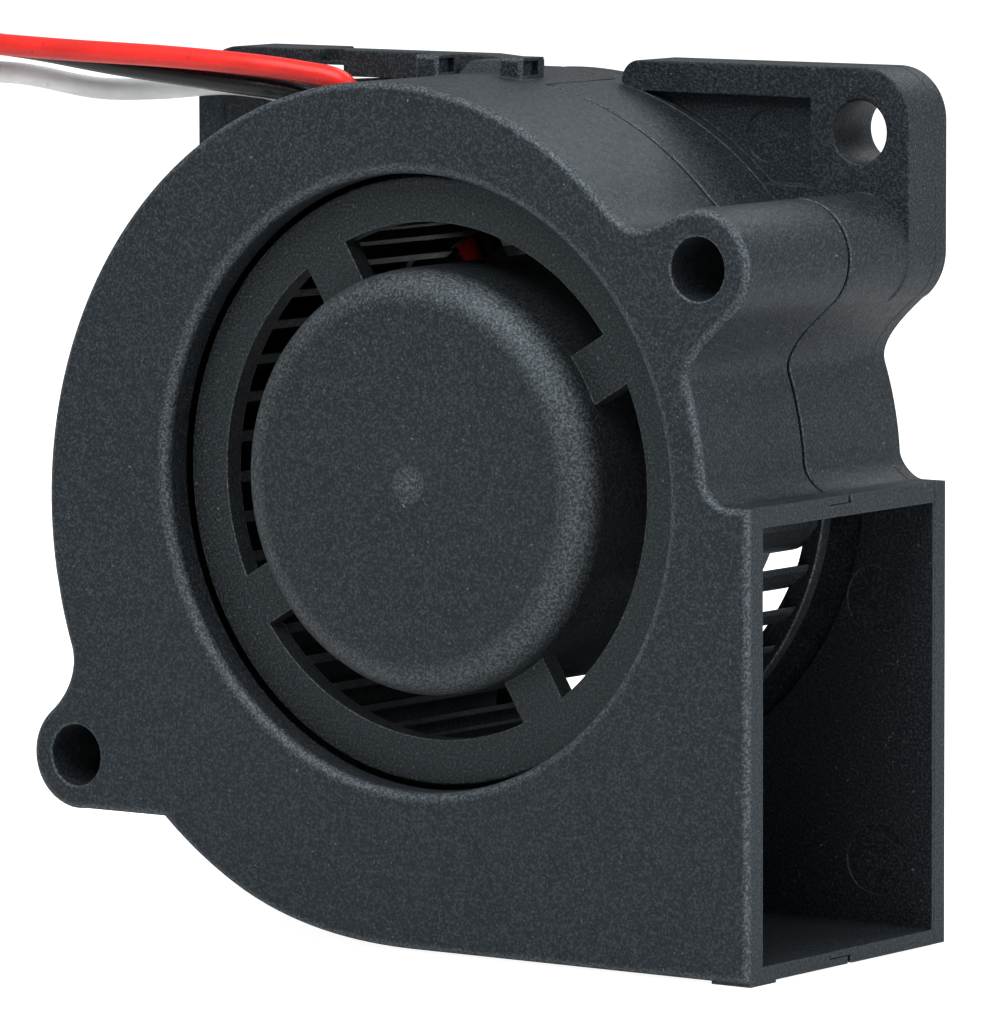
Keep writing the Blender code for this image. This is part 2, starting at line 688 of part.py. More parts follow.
def bearing(workshop, name, bottom):
    """Outer race, inner race and a cage of balls. The inner race turns with the shaft."""
    middle = bottom + BEARING_WIDTH / 2
    groove = BALL_RADIUS + 0.06
    outer = race_profile(BEARING_RADIUS, 2.85, middle, groove)
    inner = race_profile(SHAFT_RADIUS + FINE_CLEARANCE, 2.15, middle, groove)
    turned(workshop, f"{name}_bearing_outer_race", outer, STEEL, steps=28)
    turned(workshop, f"{name}_bearing_inner_race", inner, STEEL, turning=True, steps=28)
    half_h, half_width = 0.25, 0.22
    band = ring(middle - half_h, middle + half_h, BALL_PITCH_RADIUS + half_width,
                BALL_PITCH_RADIUS - half_width)
    cage = turned(workshop, f"{name}_bearing_ball_cage", band, BRASS, steps=21)
    workshop.join(cage, ball_set(workshop, f"{name}_balls", middle))


def ball_set(workshop, name, middle):
    work = bmesh.new()
    for k in range(BALL_COUNT):
        x, z = polar(BALL_PITCH_RADIUS, 360.0 * k / BALL_COUNT)
        spot = Matrix.Translation((x * MM, z * MM, middle * MM))
        bmesh.ops.create_icosphere(work, subdivisions=2, radius=BALL_RADIUS * MM, matrix=spot)
    mesh = bpy.data.meshes.new(name)
    work.to_mesh(mesh)
    work.free()
    return workshop.add(name, mesh, None)


def bearing_tube(workshop):
    """Brass tube that holds both bearings, with a step between them for the spring."""
    seat = BEARING_RADIUS + FINE_CLEARANCE / 2
    bottom, top = 1.0, FRONT_BEARING_H + BEARING_WIDTH + 0.2
    step_low, step_high = REAR_BEARING_H + BEARING_WIDTH + 0.1, FRONT_BEARING_H - 1.6
    profile = [(TUBE_RADIUS, top), (TUBE_RADIUS, bottom), (seat, bottom), (seat, step_low),
               (seat - 0.5, step_low), (seat - 0.5, step_high), (seat, step_high), (seat, top)]
    return turned(workshop, "bearing_tube", profile, BRASS)


def preload_spring(workshop):
    """Coil spring that pushes the front bearing's outer race forwards."""
    wire, turns, per_turn = 0.16, 3.0, 12
    radius = 3.15
    low, high = FRONT_BEARING_H - 1.6 + 0.22, FRONT_BEARING_H - 0.22
    count = int(turns * per_turn)
    path = []
    for i in range(count + 1):
        x, z = polar(radius, 360.0 * turns * i / count)
        path.append((x, z, low + (high - low) * i / count))
    return workshop.add("preload_spring", tube("preload_spring", path, wire, 1), STEEL)


# ---- stator and electronics ---------------------------------------------------------------

def stator_outline(hub, neck, shoe, tip, shoe_half):
    """Four poles round a hub, each a straight neck ending in a wide curved shoe."""
    points = []
    for k in range(POLE_COUNT):
        middle = 360.0 * k / POLE_COUNT
        root_half = math.degrees(math.asin(neck / 2 / hub))
        neck_half = math.degrees(math.asin(neck / 2 / shoe))
        points.append(polar(hub, middle - root_half))
        points.append(polar(shoe, middle - neck_half))
        points.append(polar(shoe + 0.35, middle - shoe_half))
        points += arc((0.0, 0.0), tip, middle - shoe_half, middle + shoe_half, 8)
        points.append(polar(shoe + 0.35, middle + shoe_half))
        points.append(polar(shoe, middle + neck_half))
        points.append(polar(hub, middle + root_half))
        points.append(polar(hub, middle + 180.0 / POLE_COUNT))
    return points


def stator(workshop):
    low, high = STATOR_H
    bore = TUBE_RADIUS + FINE_CLEARANCE
    core = stator_outline(5.5, 2.0, 8.3, POLE_TIP_RADIUS, 36.0)
    insulator = stator_outline(5.5, 2.2, 8.3, 8.9, 30.0)
    sheet = 0.5
    hole = circle((0.0, 0.0), bore)
    workshop.add("stator_core", plate("stator_core", [core, hole], low, high), LAMINATION)
    rear, front = low - sheet - FINE_CLEARANCE, high + FINE_CLEARANCE
    for name, bottom in (("rear_insulator", rear), ("front_insulator", front)):
        workshop.add(name, plate(name, [insulator, hole], bottom, bottom + sheet), BOBBIN)
    for k in range(POLE_COUNT):
        coil(workshop, k)


def coil(workshop, index):
    """One copper winding round a pole, as a rounded ring standing across the pole's neck."""
    low, high = STATOR_H
    inner_width, inner_height, build = 2.5, high - low + 2.0, 0.8
    outer = rounded_box(inner_width + 2 * build, inner_height + 2 * build, 0.9)
    inner = rounded_box(inner_width, inner_height, 0.25, 1)
    mesh = plate(f"coil_{index + 1}", [outer, inner], 5.8, 7.6)
    stand_up = Matrix.Rotation(math.radians(90.0), 4, "Y") @ Matrix.Rotation(math.radians(90.0), 4, "Z")
    lift = Matrix.Translation((0.0, 0.0, (low + high) / 2 * MM))
    turn = Matrix.Rotation(math.radians(360.0 * index / POLE_COUNT), 4, "Z")
    mesh.transform(turn @ lift @ stand_up)
    return workshop.add(f"coil_{index + 1}", mesh, COPPER)


def circuit_board(workshop):
    outlines = [circle((0.0, 0.0), BOARD_RADIUS, 48), circle((0.0, 0.0), TUBE_RADIUS + 1.0, 32)]
    return workshop.add("circuit_board", plate("circuit_board", outlines, *BOARD_H), BOARD_GREEN)


def board_parts(workshop):
    """Parts on the board's front side, each between two poles."""
    layout = (("hall_sensor", 8.9, 45.0, (1.4, 2.4, 0.9), CHIP_BLACK),
              ("driver_ic", 7.9, 135.0, (3.0, 3.2, 1.1), CHIP_BLACK),
              ("capacitor", 8.2, 225.0, (1.3, 2.2, 1.1), CERAMIC),
              ("resistor", 8.2, 315.0, (0.9, 1.8, 0.5), CHIP_BLACK))
    for name, radius, degrees, size, look in layout:
        x, z = polar(radius, degrees)
        lift = BOARD_H[1] + FINE_CLEARANCE + size[2] / 2
        workshop.add(name, block(*size), look, matrix=place(x, z, lift, degrees))


# ---- leads --------------------------------------------------------------------------------

def smooth_path(stations, steps):
    """A Catmull-Rom curve through the stations, so that the wire bends softly."""
    padded = [stations[0]] + list(stations) + [stations[-1]]
    path = []
    for a, b, c, d in zip(padded, padded[1:], padded[2:], padded[3:]):
        for i in range(steps):
            t = i / steps
            path.append(tuple(
                0.5 * (2 * b[k] + (c[k] - a[k]) * t + (2 * a[k] - 5 * b[k] + 4 * c[k] - d[k]) * t * t
                       + (3 * b[k] - a[k] - 3 * c[k] + d[k]) * t**3)
                for k in range(3)
            ))
    return path + [stations[-1]]


def lead_stations(across, way_out):
    """Along the channel side by side, then out through the window and away to the left."""
    ux, uz = heading(LEAD_CHANNEL_DEG)
    channel_h = BASE_FLOOR + LEAD_RADIUS + 0.1
    run = [(a * ux - across * uz, a * uz + across * ux, channel_h) for a in (10.6, 17.0, 21.5)]
    return run + list(way_out)


# Each lead's place across the channel, and the points it passes on its way out to the left.
LEADS = (
    ("red_lead", RED_PVC, LEAD_PITCH,
     ((-13.9, 19.0, 3.0), (-14.6, 20.0, 4.9), (-15.4, 21.5, 5.9), (-17.8, 22.0, 6.5),
      (-21.7, 22.4, 7.2), (-27.2, 22.7, 7.7), (-34.4, 22.9, 8.0), (-45.0, 23.3, 8.0))),
    ("black_lead", BLACK_PVC, 0.0,
     ((-12.9, 19.9, 2.1), (-15.2, 20.5, 3.4), (-17.8, 20.5, 4.8), (-19.8, 20.9, 5.7),
      (-22.6, 21.2, 6.3), (-31.1, 22.0, 6.5), (-38.0, 22.8, 6.5), (-45.0, 23.3, 6.4))),
    ("white_lead", WHITE_PVC, -LEAD_PITCH,
     ((-11.5, 20.3, 1.65), (-13.2, 20.85, 1.0), (-16.5, 20.8, 1.6), (-20.3, 20.6, 3.8),
      (-22.2, 20.9, 4.7), (-25.0, 21.0, 4.8), (-29.5, 20.6, 4.8), (-34.0, 20.5, 5.0),
      (-39.6, 21.2, 5.3), (-45.0, 21.2, 5.4))),
)


def leads(workshop):
    """Insulated wires with a stripped end, the conductor a piece of its own inside."""
    strip_depth, bare_length = 2.0, 3.5
    for name, look, across, way_out in LEADS:
        path = smooth_path(lead_stations(across, way_out), 4)
        wire = workshop.add(name, tube(name, path, LEAD_RADIUS), look)
        x, z, h = path[-1]
        bore = tube(f"{name}_bore", [(x + strip_depth, z, h), (x - OVERSHOOT, z, h)],
                    CORE_RADIUS + FINE_CLEARANCE)
        workshop.cut(wire, workshop.add(f"{name}_bore", bore, None))
        core = [(x + strip_depth - FINE_CLEARANCE, z, h), (x - bare_length, z, h)]
        workshop.add(f"{name}_core", tube(f"{name}_core", core, CORE_RADIUS), TIN)


def build():
    workshop = Workshop()
    front_cover(workshop)
    rear_housing(workshop)
    impeller(workshop)
    rotor_yoke(workshop)
    rotor_magnet(workshop)
    shaft(workshop)
    shaft_bush(workshop)
    retaining_clip(workshop)
    thrust_washer(workshop)
    bearing_tube(workshop)
    bearing(workshop, "rear", REAR_BEARING_H)
    bearing(workshop, "front", FRONT_BEARING_H)
    preload_spring(workshop)
    stator(workshop)
    circuit_board(workshop)
    board_parts(workshop)
    leads(workshop)


build()
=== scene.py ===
"""Looks for the blower fan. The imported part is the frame: the housing halves, the impeller and the
leads are rebuilt round it with finer shapes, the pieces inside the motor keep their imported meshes,
and everything gets a procedural material. Lengths are millimetres until world() turns them into
metres. x and z are the frame's X and Z, and h is the height above the rear face, which is -Y."""

import math

import bmesh
import bpy
from mathutils import Matrix, Vector

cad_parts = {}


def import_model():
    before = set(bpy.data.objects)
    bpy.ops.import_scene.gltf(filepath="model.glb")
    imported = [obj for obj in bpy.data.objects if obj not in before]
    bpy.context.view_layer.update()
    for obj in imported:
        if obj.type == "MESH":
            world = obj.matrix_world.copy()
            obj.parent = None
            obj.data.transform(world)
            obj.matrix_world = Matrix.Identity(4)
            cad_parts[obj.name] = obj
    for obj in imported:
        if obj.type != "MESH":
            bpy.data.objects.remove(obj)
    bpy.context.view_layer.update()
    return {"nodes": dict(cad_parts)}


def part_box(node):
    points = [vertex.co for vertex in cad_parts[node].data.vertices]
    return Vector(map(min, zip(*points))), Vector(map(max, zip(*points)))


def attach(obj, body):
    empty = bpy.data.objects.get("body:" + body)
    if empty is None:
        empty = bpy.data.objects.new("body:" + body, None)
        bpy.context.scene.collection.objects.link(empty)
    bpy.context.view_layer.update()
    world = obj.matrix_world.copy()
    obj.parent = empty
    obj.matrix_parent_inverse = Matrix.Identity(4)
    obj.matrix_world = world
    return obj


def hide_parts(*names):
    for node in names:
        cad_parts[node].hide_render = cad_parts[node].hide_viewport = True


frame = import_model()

MM = 0.001


def box_mm(node):
    low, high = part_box(node)
    return low / MM, high / MM


COVER_LOW, COVER_HIGH = box_mm("front_cover")
REAR_LOW, REAR_HIGH = box_mm("rear_housing")

# Housing.
THICKNESS = -COVER_LOW.y
OUTLET_X = COVER_HIGH.x
BOTTOM_Z = COVER_LOW.z
FLANGE_TOP_Z = REAR_HIGH.z
FLANGE_LEFT_X = REAR_LOW.x
OUTLET_TOP_Z = -0.1
INLET_RADIUS = 17.4
INLET_LIP = 0.65          # rounding of the inlet's edge
SIDE_WALL = 0.85
OUTLET_CEILING = 1.15     # thickness of the wall over the outlet
FRONT_WALL = 1.5
REAR_WALL = 1.5
COVER_BACK_H = 10.0       # the cover's edge at the parting line
HOUSING_FRONT_H = 9.75    # the rear housing's edge there
TONGUE_H = 11.8           # the rear housing's inner tongue closes the parting line from inside
LAP = 0.42                # thickness of the cover's lip, which lies outside the tongue
PAST = 1.0                # how far a cutter runs past the face it opens
FACE_ROUND = 0.45
EDGE_ROUND = 0.1
FLANGE_ROUND = 0.3
MOULD_LINE_H = 1.3
INLET_RIM_H = (18.0, 19.0)    # back and front of the ring inside the cover round the inlet
RECESS_RADIUS = 18.2      # shallow recess in the rear wall behind the impeller
RECESS_DEPTH = 0.25

SCROLL_START_RADIUS = 19.8
CUTOFF_DEG = 4.0          # where the wall over the outlet turns up into the scroll
SCROLL_START_DEG = 24.0   # the wall is round the axis up to here, then it opens
SCROLL_GROWTH = 0.039     # millimetres of radius per degree
SCROLL_FULL_RADIUS = 26.9
SCROLL_TURN_IN_DEG = 240.0    # from here the wall eases into the flat bottom

BOSS = (19.45, 12.9)
BOSS_RADIUS = 3.3
EAR = (-24.1, -17.05)
EAR_RADIUS = 3.15
HOLE_RADIUS = 1.77
FLANGE_THICKNESS = 4.0
FLANGE_CORNER = 3.0
FLANGE_HOLE = (BOSS[0], 19.6)
RIGHT_RIB_START = 3.2
LEFT_RIB_END = -3.6
RIB_BACK_START = -18.7    # right of this the left rib is only a thin wall at the flange's front
RIB_BACK_H = 2.0
WEB_THICKNESS = 3.0       # the right flange's thin field between its rib and the scroll
RIB_HEIGHT = 1.8
RIB_NOTCH_X = (-18.33, -16.58)
RIB_NOTCH_FOOT = 22.5
RIB_NOTCH_BACK_H = 3.2
WINDOW_LEFT, WINDOW_RIGHT, WINDOW_TOP, WINDOW_FOOT = -22.3, -16.55, 22.3, 15.5
HOOK_CENTRES = (-5.575, 0.3)
HOOK_WIDTH = 1.65
HOOK_FOOT = 21.9
HOOK_TOP = COVER_HIGH.z
HOOK_H = (8.55, 10.85)    # back and front
POCKET_FOOT = 22.5
POCKET_H = (9.2, 10.65)
LUG_X = (-4.2, -0.85)     # the catch between the hooks
LUG_BACK_H = 6.2
TAB_DEGREES = (84.3, 96.2, 122.0)    # the cover reaches back over the scroll's top between these
TAB_BACK_H = (3.25, 4.15)
TAB_GAP = 0.12

BASE_RADIUS = 12.0
BASE_FLOOR = 0.9
BASE_RIM_H = 3.7
SEAT_RADII = (4.4, 5.2)   # inside and outside of the collar that holds the bearing tube
SEAT_H = 2.3
REAR_INLET_RADIUS = 14.5
STRUT_DEGREES = (10.0, 250.0)
STRUT_WIDTH = 2.2
LEAD_CHANNEL_DEG = 122.5
LEAD_CHANNEL_WIDTH = 4.7
LEAD_CHANNEL_END = 24.2
LEAD_SIDE_WALL = 0.6
LEAD_GAP_H = 4.9          # top of the gap in the scroll's wall
LEAD_COVER = (15.2, 21.5, 2.5, 2.9)   # the strip over the leads: inner end, outer end, bottom, top

# Where ejector pins left marks: place, radius and the height of the surface they are in.
EJECTOR_MARKS = (((12.6, 19.1), 1.45, WEB_THICKNESS), ((-23.9, 19.3), 1.45, FLANGE_THICKNESS),
                 ((19.05, -7.0), 2.0, REAR_WALL), ((19.05, -21.8), 2.0, REAR_WALL))

# Impeller.
HUB_FRONT_H = -box_mm("impeller")[0].y
HUB_RADIUS = 12.05
HUB_ROUND = 2.0
HUB_SKIRT_H = 4.0
HUB_WALL = 0.8
HUB_FACE_THICKNESS = 1.3
# The mark that the mould's gate leaves in the hub's middle: radius, depth and wear.
GATE_MARK = ((0.0, 0.12, 0.9), (0.35, 0.1, 0.9), (0.45, 0.16, 0.7), (0.75, 0.14, 0.6), (1.0, 0.05, 0.5))
PLATE_FRONT_H = 17.85
PLATE_BACK_H = 16.55
PLATE_OUTER_RADIUS = 17.15
PLATE_INNER_RADIUS = 14.6
SPOKE_DEGREES = (31.0, 121.0, 211.0, 301.0)
SPOKE_WIDTH = 3.1
BLADE_COUNT = 40
FIRST_BLADE_DEG = 2.6
BLADE_INNER_RADIUS = 14.8
BLADE_OUTER_RADIUS = 16.95
BLADE_THICKNESS = 0.62
BLADE_LEAN_DEG = 7.0
BACK_RING_H = (3.3, 4.2)
BACK_RING_RADII = (16.2, 17.35)

# Leads.
LEAD_RADIUS = 0.65
LEAD_PITCH = 1.45
CORE_RADIUS = 0.3

# Viewpoint.
VIEW_AZIMUTH = 35.81
VIEW_ELEVATION = 5.82
VIEW_ROLL = -0.14
VIEW_DISTANCE = 506.12
VIEW_TARGET = (4.13, -17.19, -1.32)
LENS = 320.3
SENSOR = 36.0

# Soft lights: azimuth, elevation, distance and size in metres, power in watts.
LIGHTS = {
    "back_light": (175.0, 50.0, 0.6, 0.35, 1.2),
    "right_light": (95.0, 20.0, 0.7, 0.4, 3.0),
    "front_light": (5.0, 55.0, 0.24, 0.2, 0.6),
}
FILL_STRENGTH = 0.32


# ---- outlines -----------------------------------------------------------------------------

def polar(radius, degrees, centre=(0.0, 0.0)):
    angle = math.radians(degrees)
    return (centre[0] + radius * math.cos(angle), centre[1] + radius * math.sin(angle))


def heading(degrees):
    return polar(1.0, degrees)


def arc(centre, radius, start, end, step=5.0):
    """Points from start to end degrees round centre, both ends included."""
    count = max(1, math.ceil(abs(end - start) / step))
    return [polar(radius, start + (end - start) * i / count, centre) for i in range(count + 1)]


def circle(centre, radius, step=5.0):
    return arc(centre, radius, 0.0, 360.0, step)[:-1]


def sweep(start, start_heading, end, end_heading, pull, steps=14):
    """A smooth bend between two points, leaving and arriving along the given headings."""
    points = []
    for i in range(1, steps):
        t = i / steps
        weights = (2 * t**3 - 3 * t**2 + 1, t**3 - 2 * t**2 + t, -2 * t**3 + 3 * t**2, t**3 - t**2)
        points.append(tuple(
            weights[0] * start[k] + weights[1] * pull * start_heading[k]
            + weights[2] * end[k] + weights[3] * pull * end_heading[k]
            for k in range(2)
        ))
    return points


def inset(points, distance):
    """A closed outline moved to its left by distance, with mitred corners."""
    moved = []
    for i, here in enumerate(points):
        before = points[i - 1]
        after = points[(i + 1) % len(points)]
        into = Vector((before[1] - here[1], here[0] - before[0])).normalized()
        out = Vector((here[1] - after[1], after[0] - here[0])).normalized()
        spread = max(0.35, 1.0 + into.dot(out))
        shift = (into + out) * (distance / spread)
        moved.append((here[0] + shift.x, here[1] + shift.y))
    return moved


def without_repeats(points, gap=0.02):
    kept = [points[0]]
    for point in points[1:]:
        if math.dist(point, kept[-1]) > gap:
            kept.append(point)
    if math.dist(kept[0], kept[-1]) <= gap:
        kept.pop()
    return kept


def anticlockwise(points):
    area = sum(a[0] * b[1] - b[0] * a[1] for a, b in zip(points, points[1:] + points[:1]))
    return points if area > 0.0 else points[::-1]


def scroll_radius(degrees):
    grown = SCROLL_START_RADIUS + SCROLL_GROWTH * max(0.0, degrees - SCROLL_START_DEG)
    turn_in = max(0.0, degrees - SCROLL_TURN_IN_DEG) / (270.0 - SCROLL_TURN_IN_DEG)
    turn_in = turn_in * turn_in * (3.0 - 2.0 * turn_in)
    return min(grown, SCROLL_FULL_RADIUS) + turn_in * (-BOTTOM_Z - SCROLL_FULL_RADIUS)


def scroll(start, end, inward=0.0, step=1.8):
    count = max(1, math.ceil(abs(end - start) / step))
    span = [start + (end - start) * i / count for i in range(count + 1)]
    return [polar(scroll_radius(a) - inward, a) for a in span]


def outlet_corner(end_x):
    corner = (SCROLL_START_RADIUS + 1.5, OUTLET_TOP_Z)
    wall = polar(SCROLL_START_RADIUS, CUTOFF_DEG)
    bend = sweep(corner, (-1.0, 0.0), wall, heading(CUTOFF_DEG + 90.0), 1.8, 10)
    return [(end_x, OUTLET_TOP_Z), corner] + bend


def boss_side():
    wall = scroll(CUTOFF_DEG, 19.0)
    boss = arc(BOSS, BOSS_RADIUS, -49.5, 115.0, 6.0)
    return wall + sweep(wall[-1], heading(109.0), boss[0], heading(40.5), 4.0) + boss


def ear_outline():
    leave, back = 203.0, 228.5
    ear = arc(EAR, EAR_RADIUS, 130.0, 279.0, 6.0)
    start = polar(scroll_radius(leave), leave)
    points = scroll(198.0, leave)
    points += sweep(start, heading(leave + 90.0), ear[0], heading(220.0), 5.0)
    return points + ear + [polar(scroll_radius(back), back)]


def body_outline(end_x=OUTLET_X):
    """Outside of the housing seen from the front, anticlockwise from the outlet's top corner."""
    valley_end = 50.5
    points = outlet_corner(end_x) + boss_side()
    points += sweep(points[-1], heading(205.0), polar(scroll_radius(valley_end), valley_end),
                    heading(valley_end + 86.0), 7.5)
    points += scroll(valley_end, 194.0)
    points += ear_outline()
    points += scroll(231.0, 270.0)
    return without_repeats(points + [(end_x, BOTTOM_Z)])


def cavity_outline():
    top = OUTLET_TOP_Z - OUTLET_CEILING
    nose = SCROLL_START_RADIUS - SIDE_WALL
    end = OUTLET_X + 2.0
    points = [(end, top), (nose + 0.6, top)]
    points += sweep(points[-1], (-1.0, 0.0), polar(nose, 1.0), heading(91.0), 1.2, 6)
    points += scroll(1.0, 270.0, SIDE_WALL)
    return without_repeats(points + [(end, BOTTOM_Z + SIDE_WALL)])


def right_flange_outline():
    proud = BOSS_RADIUS + 0.06
    corner = (BOSS[0] + proud - FLANGE_CORNER, FLANGE_TOP_Z - FLANGE_CORNER)
    points = arc(BOSS, proud, -50.0, 0.0)
    points += arc(corner, FLANGE_CORNER, 0.0, 90.0)
    end_round = 1.2
    rib_end = (RIGHT_RIB_START + end_round, FLANGE_TOP_Z - end_round)
    points += arc(rib_end, end_round, 90.0, 180.0, 10.0)
    return without_repeats(points + scroll(80.0, CUTOFF_DEG + 20.0, SIDE_WALL / 2, 6.0))


def left_flange_outline():
    left = FLANGE_LEFT_X
    corner = (left + FLANGE_CORNER, FLANGE_TOP_Z - FLANGE_CORNER)
    foot = (left + FLANGE_CORNER, 14.0)
    slope_run, slope_drop = 3.1, 0.25
    points = [(LEFT_RIB_END, 21.5), (LEFT_RIB_END, FLANGE_TOP_Z - slope_drop),
              (LEFT_RIB_END - slope_run, FLANGE_TOP_Z)]
    points += arc(corner, FLANGE_CORNER, 90.0, 180.0)
    points += arc(foot, FLANGE_CORNER, 180.0, 250.0)
    return without_repeats(points + scroll(152.0, 105.0, SIDE_WALL / 2, 6.0))


def window_outline():
    """Window beside the scroll that lets the leads through the left flange, under its rib."""
    under_rib = 21.65
    along_scroll = scroll(140.2, 118.0, -0.05)
    points = [(WINDOW_LEFT, WINDOW_TOP), (WINDOW_LEFT, WINDOW_FOOT)] + along_scroll
    points.append((along_scroll[-1][0], under_rib))
    return points + [(WINDOW_RIGHT, under_rib), (WINDOW_RIGHT, WINDOW_TOP)]


def flange_field():
    rib_edge = FLANGE_TOP_Z - RIB_HEIGHT
    pad_margin, foot_z = 1.5, 16.4
    pad_edge = FLANGE_HOLE[0] - HOLE_RADIUS - pad_margin
    return [(pad_edge, rib_edge)] + scroll(78.0, 52.0, -0.05) + [(pad_edge, foot_z)]


def blade_outline(degrees):
    trailing, leading = [], []
    steps = 8
    for i in range(steps + 1):
        t = i / steps
        radius = BLADE_INNER_RADIUS + (BLADE_OUTER_RADIUS - BLADE_INNER_RADIUS) * t
        lean = degrees + BLADE_LEAN_DEG * t * t
        half = math.degrees(BLADE_THICKNESS * (0.5 - 0.18 * t) / radius)
        trailing.append(polar(radius, lean - half))
        leading.append(polar(radius, lean + half))
    return trailing + leading[::-1]


def strip(degrees, width, start, end):
    ux, uz = heading(degrees)
    corners = ((start, -width / 2), (end, -width / 2), (end, width / 2), (start, width / 2))
    return [(a * ux - b * uz, a * uz + b * ux) for a, b in corners]


def rectangle(left, right, low, high):
    return [(left, low), (right, low), (right, high), (left, high)]


def slot_outline(first_spoke, second_spoke, inner, outer):
    """Opening between two straight spokes, from the hub to the front plate's inner edge."""
    half_out = math.degrees(math.asin(SPOKE_WIDTH / 2 / outer))
    half_in = math.degrees(math.asin(SPOKE_WIDTH / 2 / inner))
    far = arc((0.0, 0.0), outer, first_spoke + half_out, second_spoke - half_out, 2.5)
    near = arc((0.0, 0.0), inner, second_spoke - half_in, first_spoke + half_in, 2.5)
    return far + near


# ---- solids -------------------------------------------------------------------------------

def world(x, z, h):
    return Vector((x * MM, -h * MM, z * MM))


def rounded_side(front, back, front_round=0.0, back_round=0.0, steps=5, guard=0.12):
    """A side wall as (inset, height, wear and painted highlight) from front to back. That third value is
    1 along rounded edges.
    """
    profile = []
    if front_round:
        profile.append((front_round + guard, front, 0.0))
        for i in range(steps + 1):
            t = math.pi / 2 * i / steps
            below = front_round * (1 - math.cos(t))
            profile.append((front_round * (1 - math.sin(t)), front - below, math.sin(2 * t)))
        profile.append((0.0, front - front_round - guard, 0.0))
    else:
        profile.append((0.0, front, 0.0))
    if back_round:
        profile.append((0.0, back + back_round + guard, 0.0))
        for i in range(steps + 1):
            t = math.pi / 2 * i / steps
            above = back_round * (1 - math.sin(t))
            profile.append((back_round * (1 - math.cos(t)), back + above, math.sin(2 * t)))
        profile.append((back_round + guard, back, 0.0))
    else:
        profile.append((0.0, back, 0.0))
    return profile


def mesh_from(work, name):
    bmesh.ops.recalc_face_normals(work, faces=work.faces)
    mesh = bpy.data.meshes.new(name)
    work.to_mesh(mesh)
    work.free()
    return mesh


def solid(name, mesh):
    made = bpy.data.objects.new(name, mesh)
    bpy.context.scene.collection.objects.link(made)
    return made


def cap(work, rings):
    edges = []
    for ring in rings:
        for a, b in zip(ring, ring[1:] + ring[:1]):
            edges.append(work.edges.get((a, b)))
    bmesh.ops.triangle_fill(work, use_beauty=True, use_dissolve=False, edges=edges)


def prism(name, outside, outside_profile, holes=()):
    """A plate lying parallel to the front face, whose outside and holes follow side profiles. A hole
    is an outline, or an outline and its own profile."""
    work = bmesh.new()
    # How much lighter each vertex is, for wear and a painted highlight on rounded edges.
    wear_and_highlight = work.verts.layers.float.new("wear_and_highlight")
    first, last = [], []
    loops = [(anticlockwise(outside), outside_profile)]
    for hole in holes:
        points, profile = hole if isinstance(hole, tuple) else (hole, outside_profile)
        loops.append((anticlockwise(points)[::-1], profile))
    for points, profile in loops:
        rings = []
        for distance, h, lightening in profile:
            ring = [work.verts.new(world(x, z, h)) for x, z in inset(points, distance)]
            for vertex in ring:
                vertex[wear_and_highlight] = lightening
            rings.append(ring)
        for near, far in zip(rings, rings[1:]):
            for k in range(len(near)):
                work.faces.new((near[k - 1], near[k], far[k], far[k - 1]))
        first.append(rings[0])
        last.append(rings[-1])
    cap(work, first)
    cap(work, last)
    return solid(name, mesh_from(work, name))


def block(name, outline, front, back):
    return prism(name, outline, rounded_side(front, back))


def turned(name, profile, steps=120):
    """A turned piece from (radius, height) or (radius, height, wear and painted highlight). A radius of 0
    closes it.
    """
    work = bmesh.new()
    wear_and_highlight = work.verts.layers.float.new("wear_and_highlight")
    columns = []
    poles = {}
    for k in range(steps):
        column = []
        for i, (r, h, *lightening) in enumerate(profile):
            if r == 0.0:
                if i not in poles:
                    poles[i] = work.verts.new(world(0.0, 0.0, h))
                column.append(poles[i])
            else:
                x, z = polar(r, 360.0 * k / steps)
                column.append(work.verts.new(world(x, z, h)))
            column[-1][wear_and_highlight] = sum(lightening)
        columns.append(column)
    closed = profile[0][0] != 0.0
    spans = list(range(len(profile) - 1)) + ([-1] if closed else [])
    for k in range(steps):
        for i in spans:
            corners = [columns[k - 1][i], columns[k][i], columns[k][i + 1], columns[k - 1][i + 1]]
            work.faces.new(list(dict.fromkeys(corners)))
    return solid(name, mesh_from(work, name))


def tube(path, radius, sides=24):
    """Round rod along a path of (x, z, h) points, in a bmesh."""
    work = bmesh.new()
    points = [world(*p) for p in path]
    side = Vector((0.0, 1.0, 0.0))
    rings = []
    for i, point in enumerate(points):
        along = (points[min(i + 1, len(points) - 1)] - points[max(i - 1, 0)]).normalized()
        side = (side - along * side.dot(along)).normalized()
        other = along.cross(side)
        ring = []
        for k in range(sides):
            angle = 2 * math.pi * k / sides
            out = side * math.cos(angle) + other * math.sin(angle)
            ring.append(work.verts.new(point + radius * MM * out))
        rings.append(ring)
    for near, far in zip(rings, rings[1:]):
        for k in range(sides):
            work.faces.new((near[k - 1], near[k], far[k], far[k - 1]))
    work.faces.new(rings[0])
    work.faces.new(rings[-1])
    return work


def combine(target, joined=(), cut=()):
    """Joins solids to the target, then cuts others out of it, and leaves one plain mesh."""
    tools = [("UNION", tool) for tool in joined] + [("DIFFERENCE", tool) for tool in cut]
    for operation, tool in tools:
        step = target.modifiers.new(tool.name, "BOOLEAN")
        step.operation = operation
        step.object = tool
        step.solver = "EXACT"
    bpy.context.view_layer.update()
    graph = bpy.context.evaluated_depsgraph_get()
    mesh = bpy.data.meshes.new_from_object(target.evaluated_get(graph))
    target.modifiers.clear()
    target.data = mesh
    for _, tool in tools:
        bpy.data.objects.remove(tool)
    return target


def gather(name, parts):
    """One object from several closed solids."""
    work = bmesh.new()
    for part in parts:
        work.from_mesh(part.data)
        bpy.data.objects.remove(part)
    mesh = bpy.data.meshes.new(name)
    work.to_mesh(mesh)
    work.free()
    return solid(name, mesh)


def finish_piece(piece, body, nodes, material, sharp=28.0):
    piece.data.shade_smooth()
    piece.data.set_sharp_from_angle(angle=math.radians(sharp))
    piece.data.materials.clear()
    piece.data.materials.append(material)
    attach(piece, body)
    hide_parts(*nodes)
    return piece


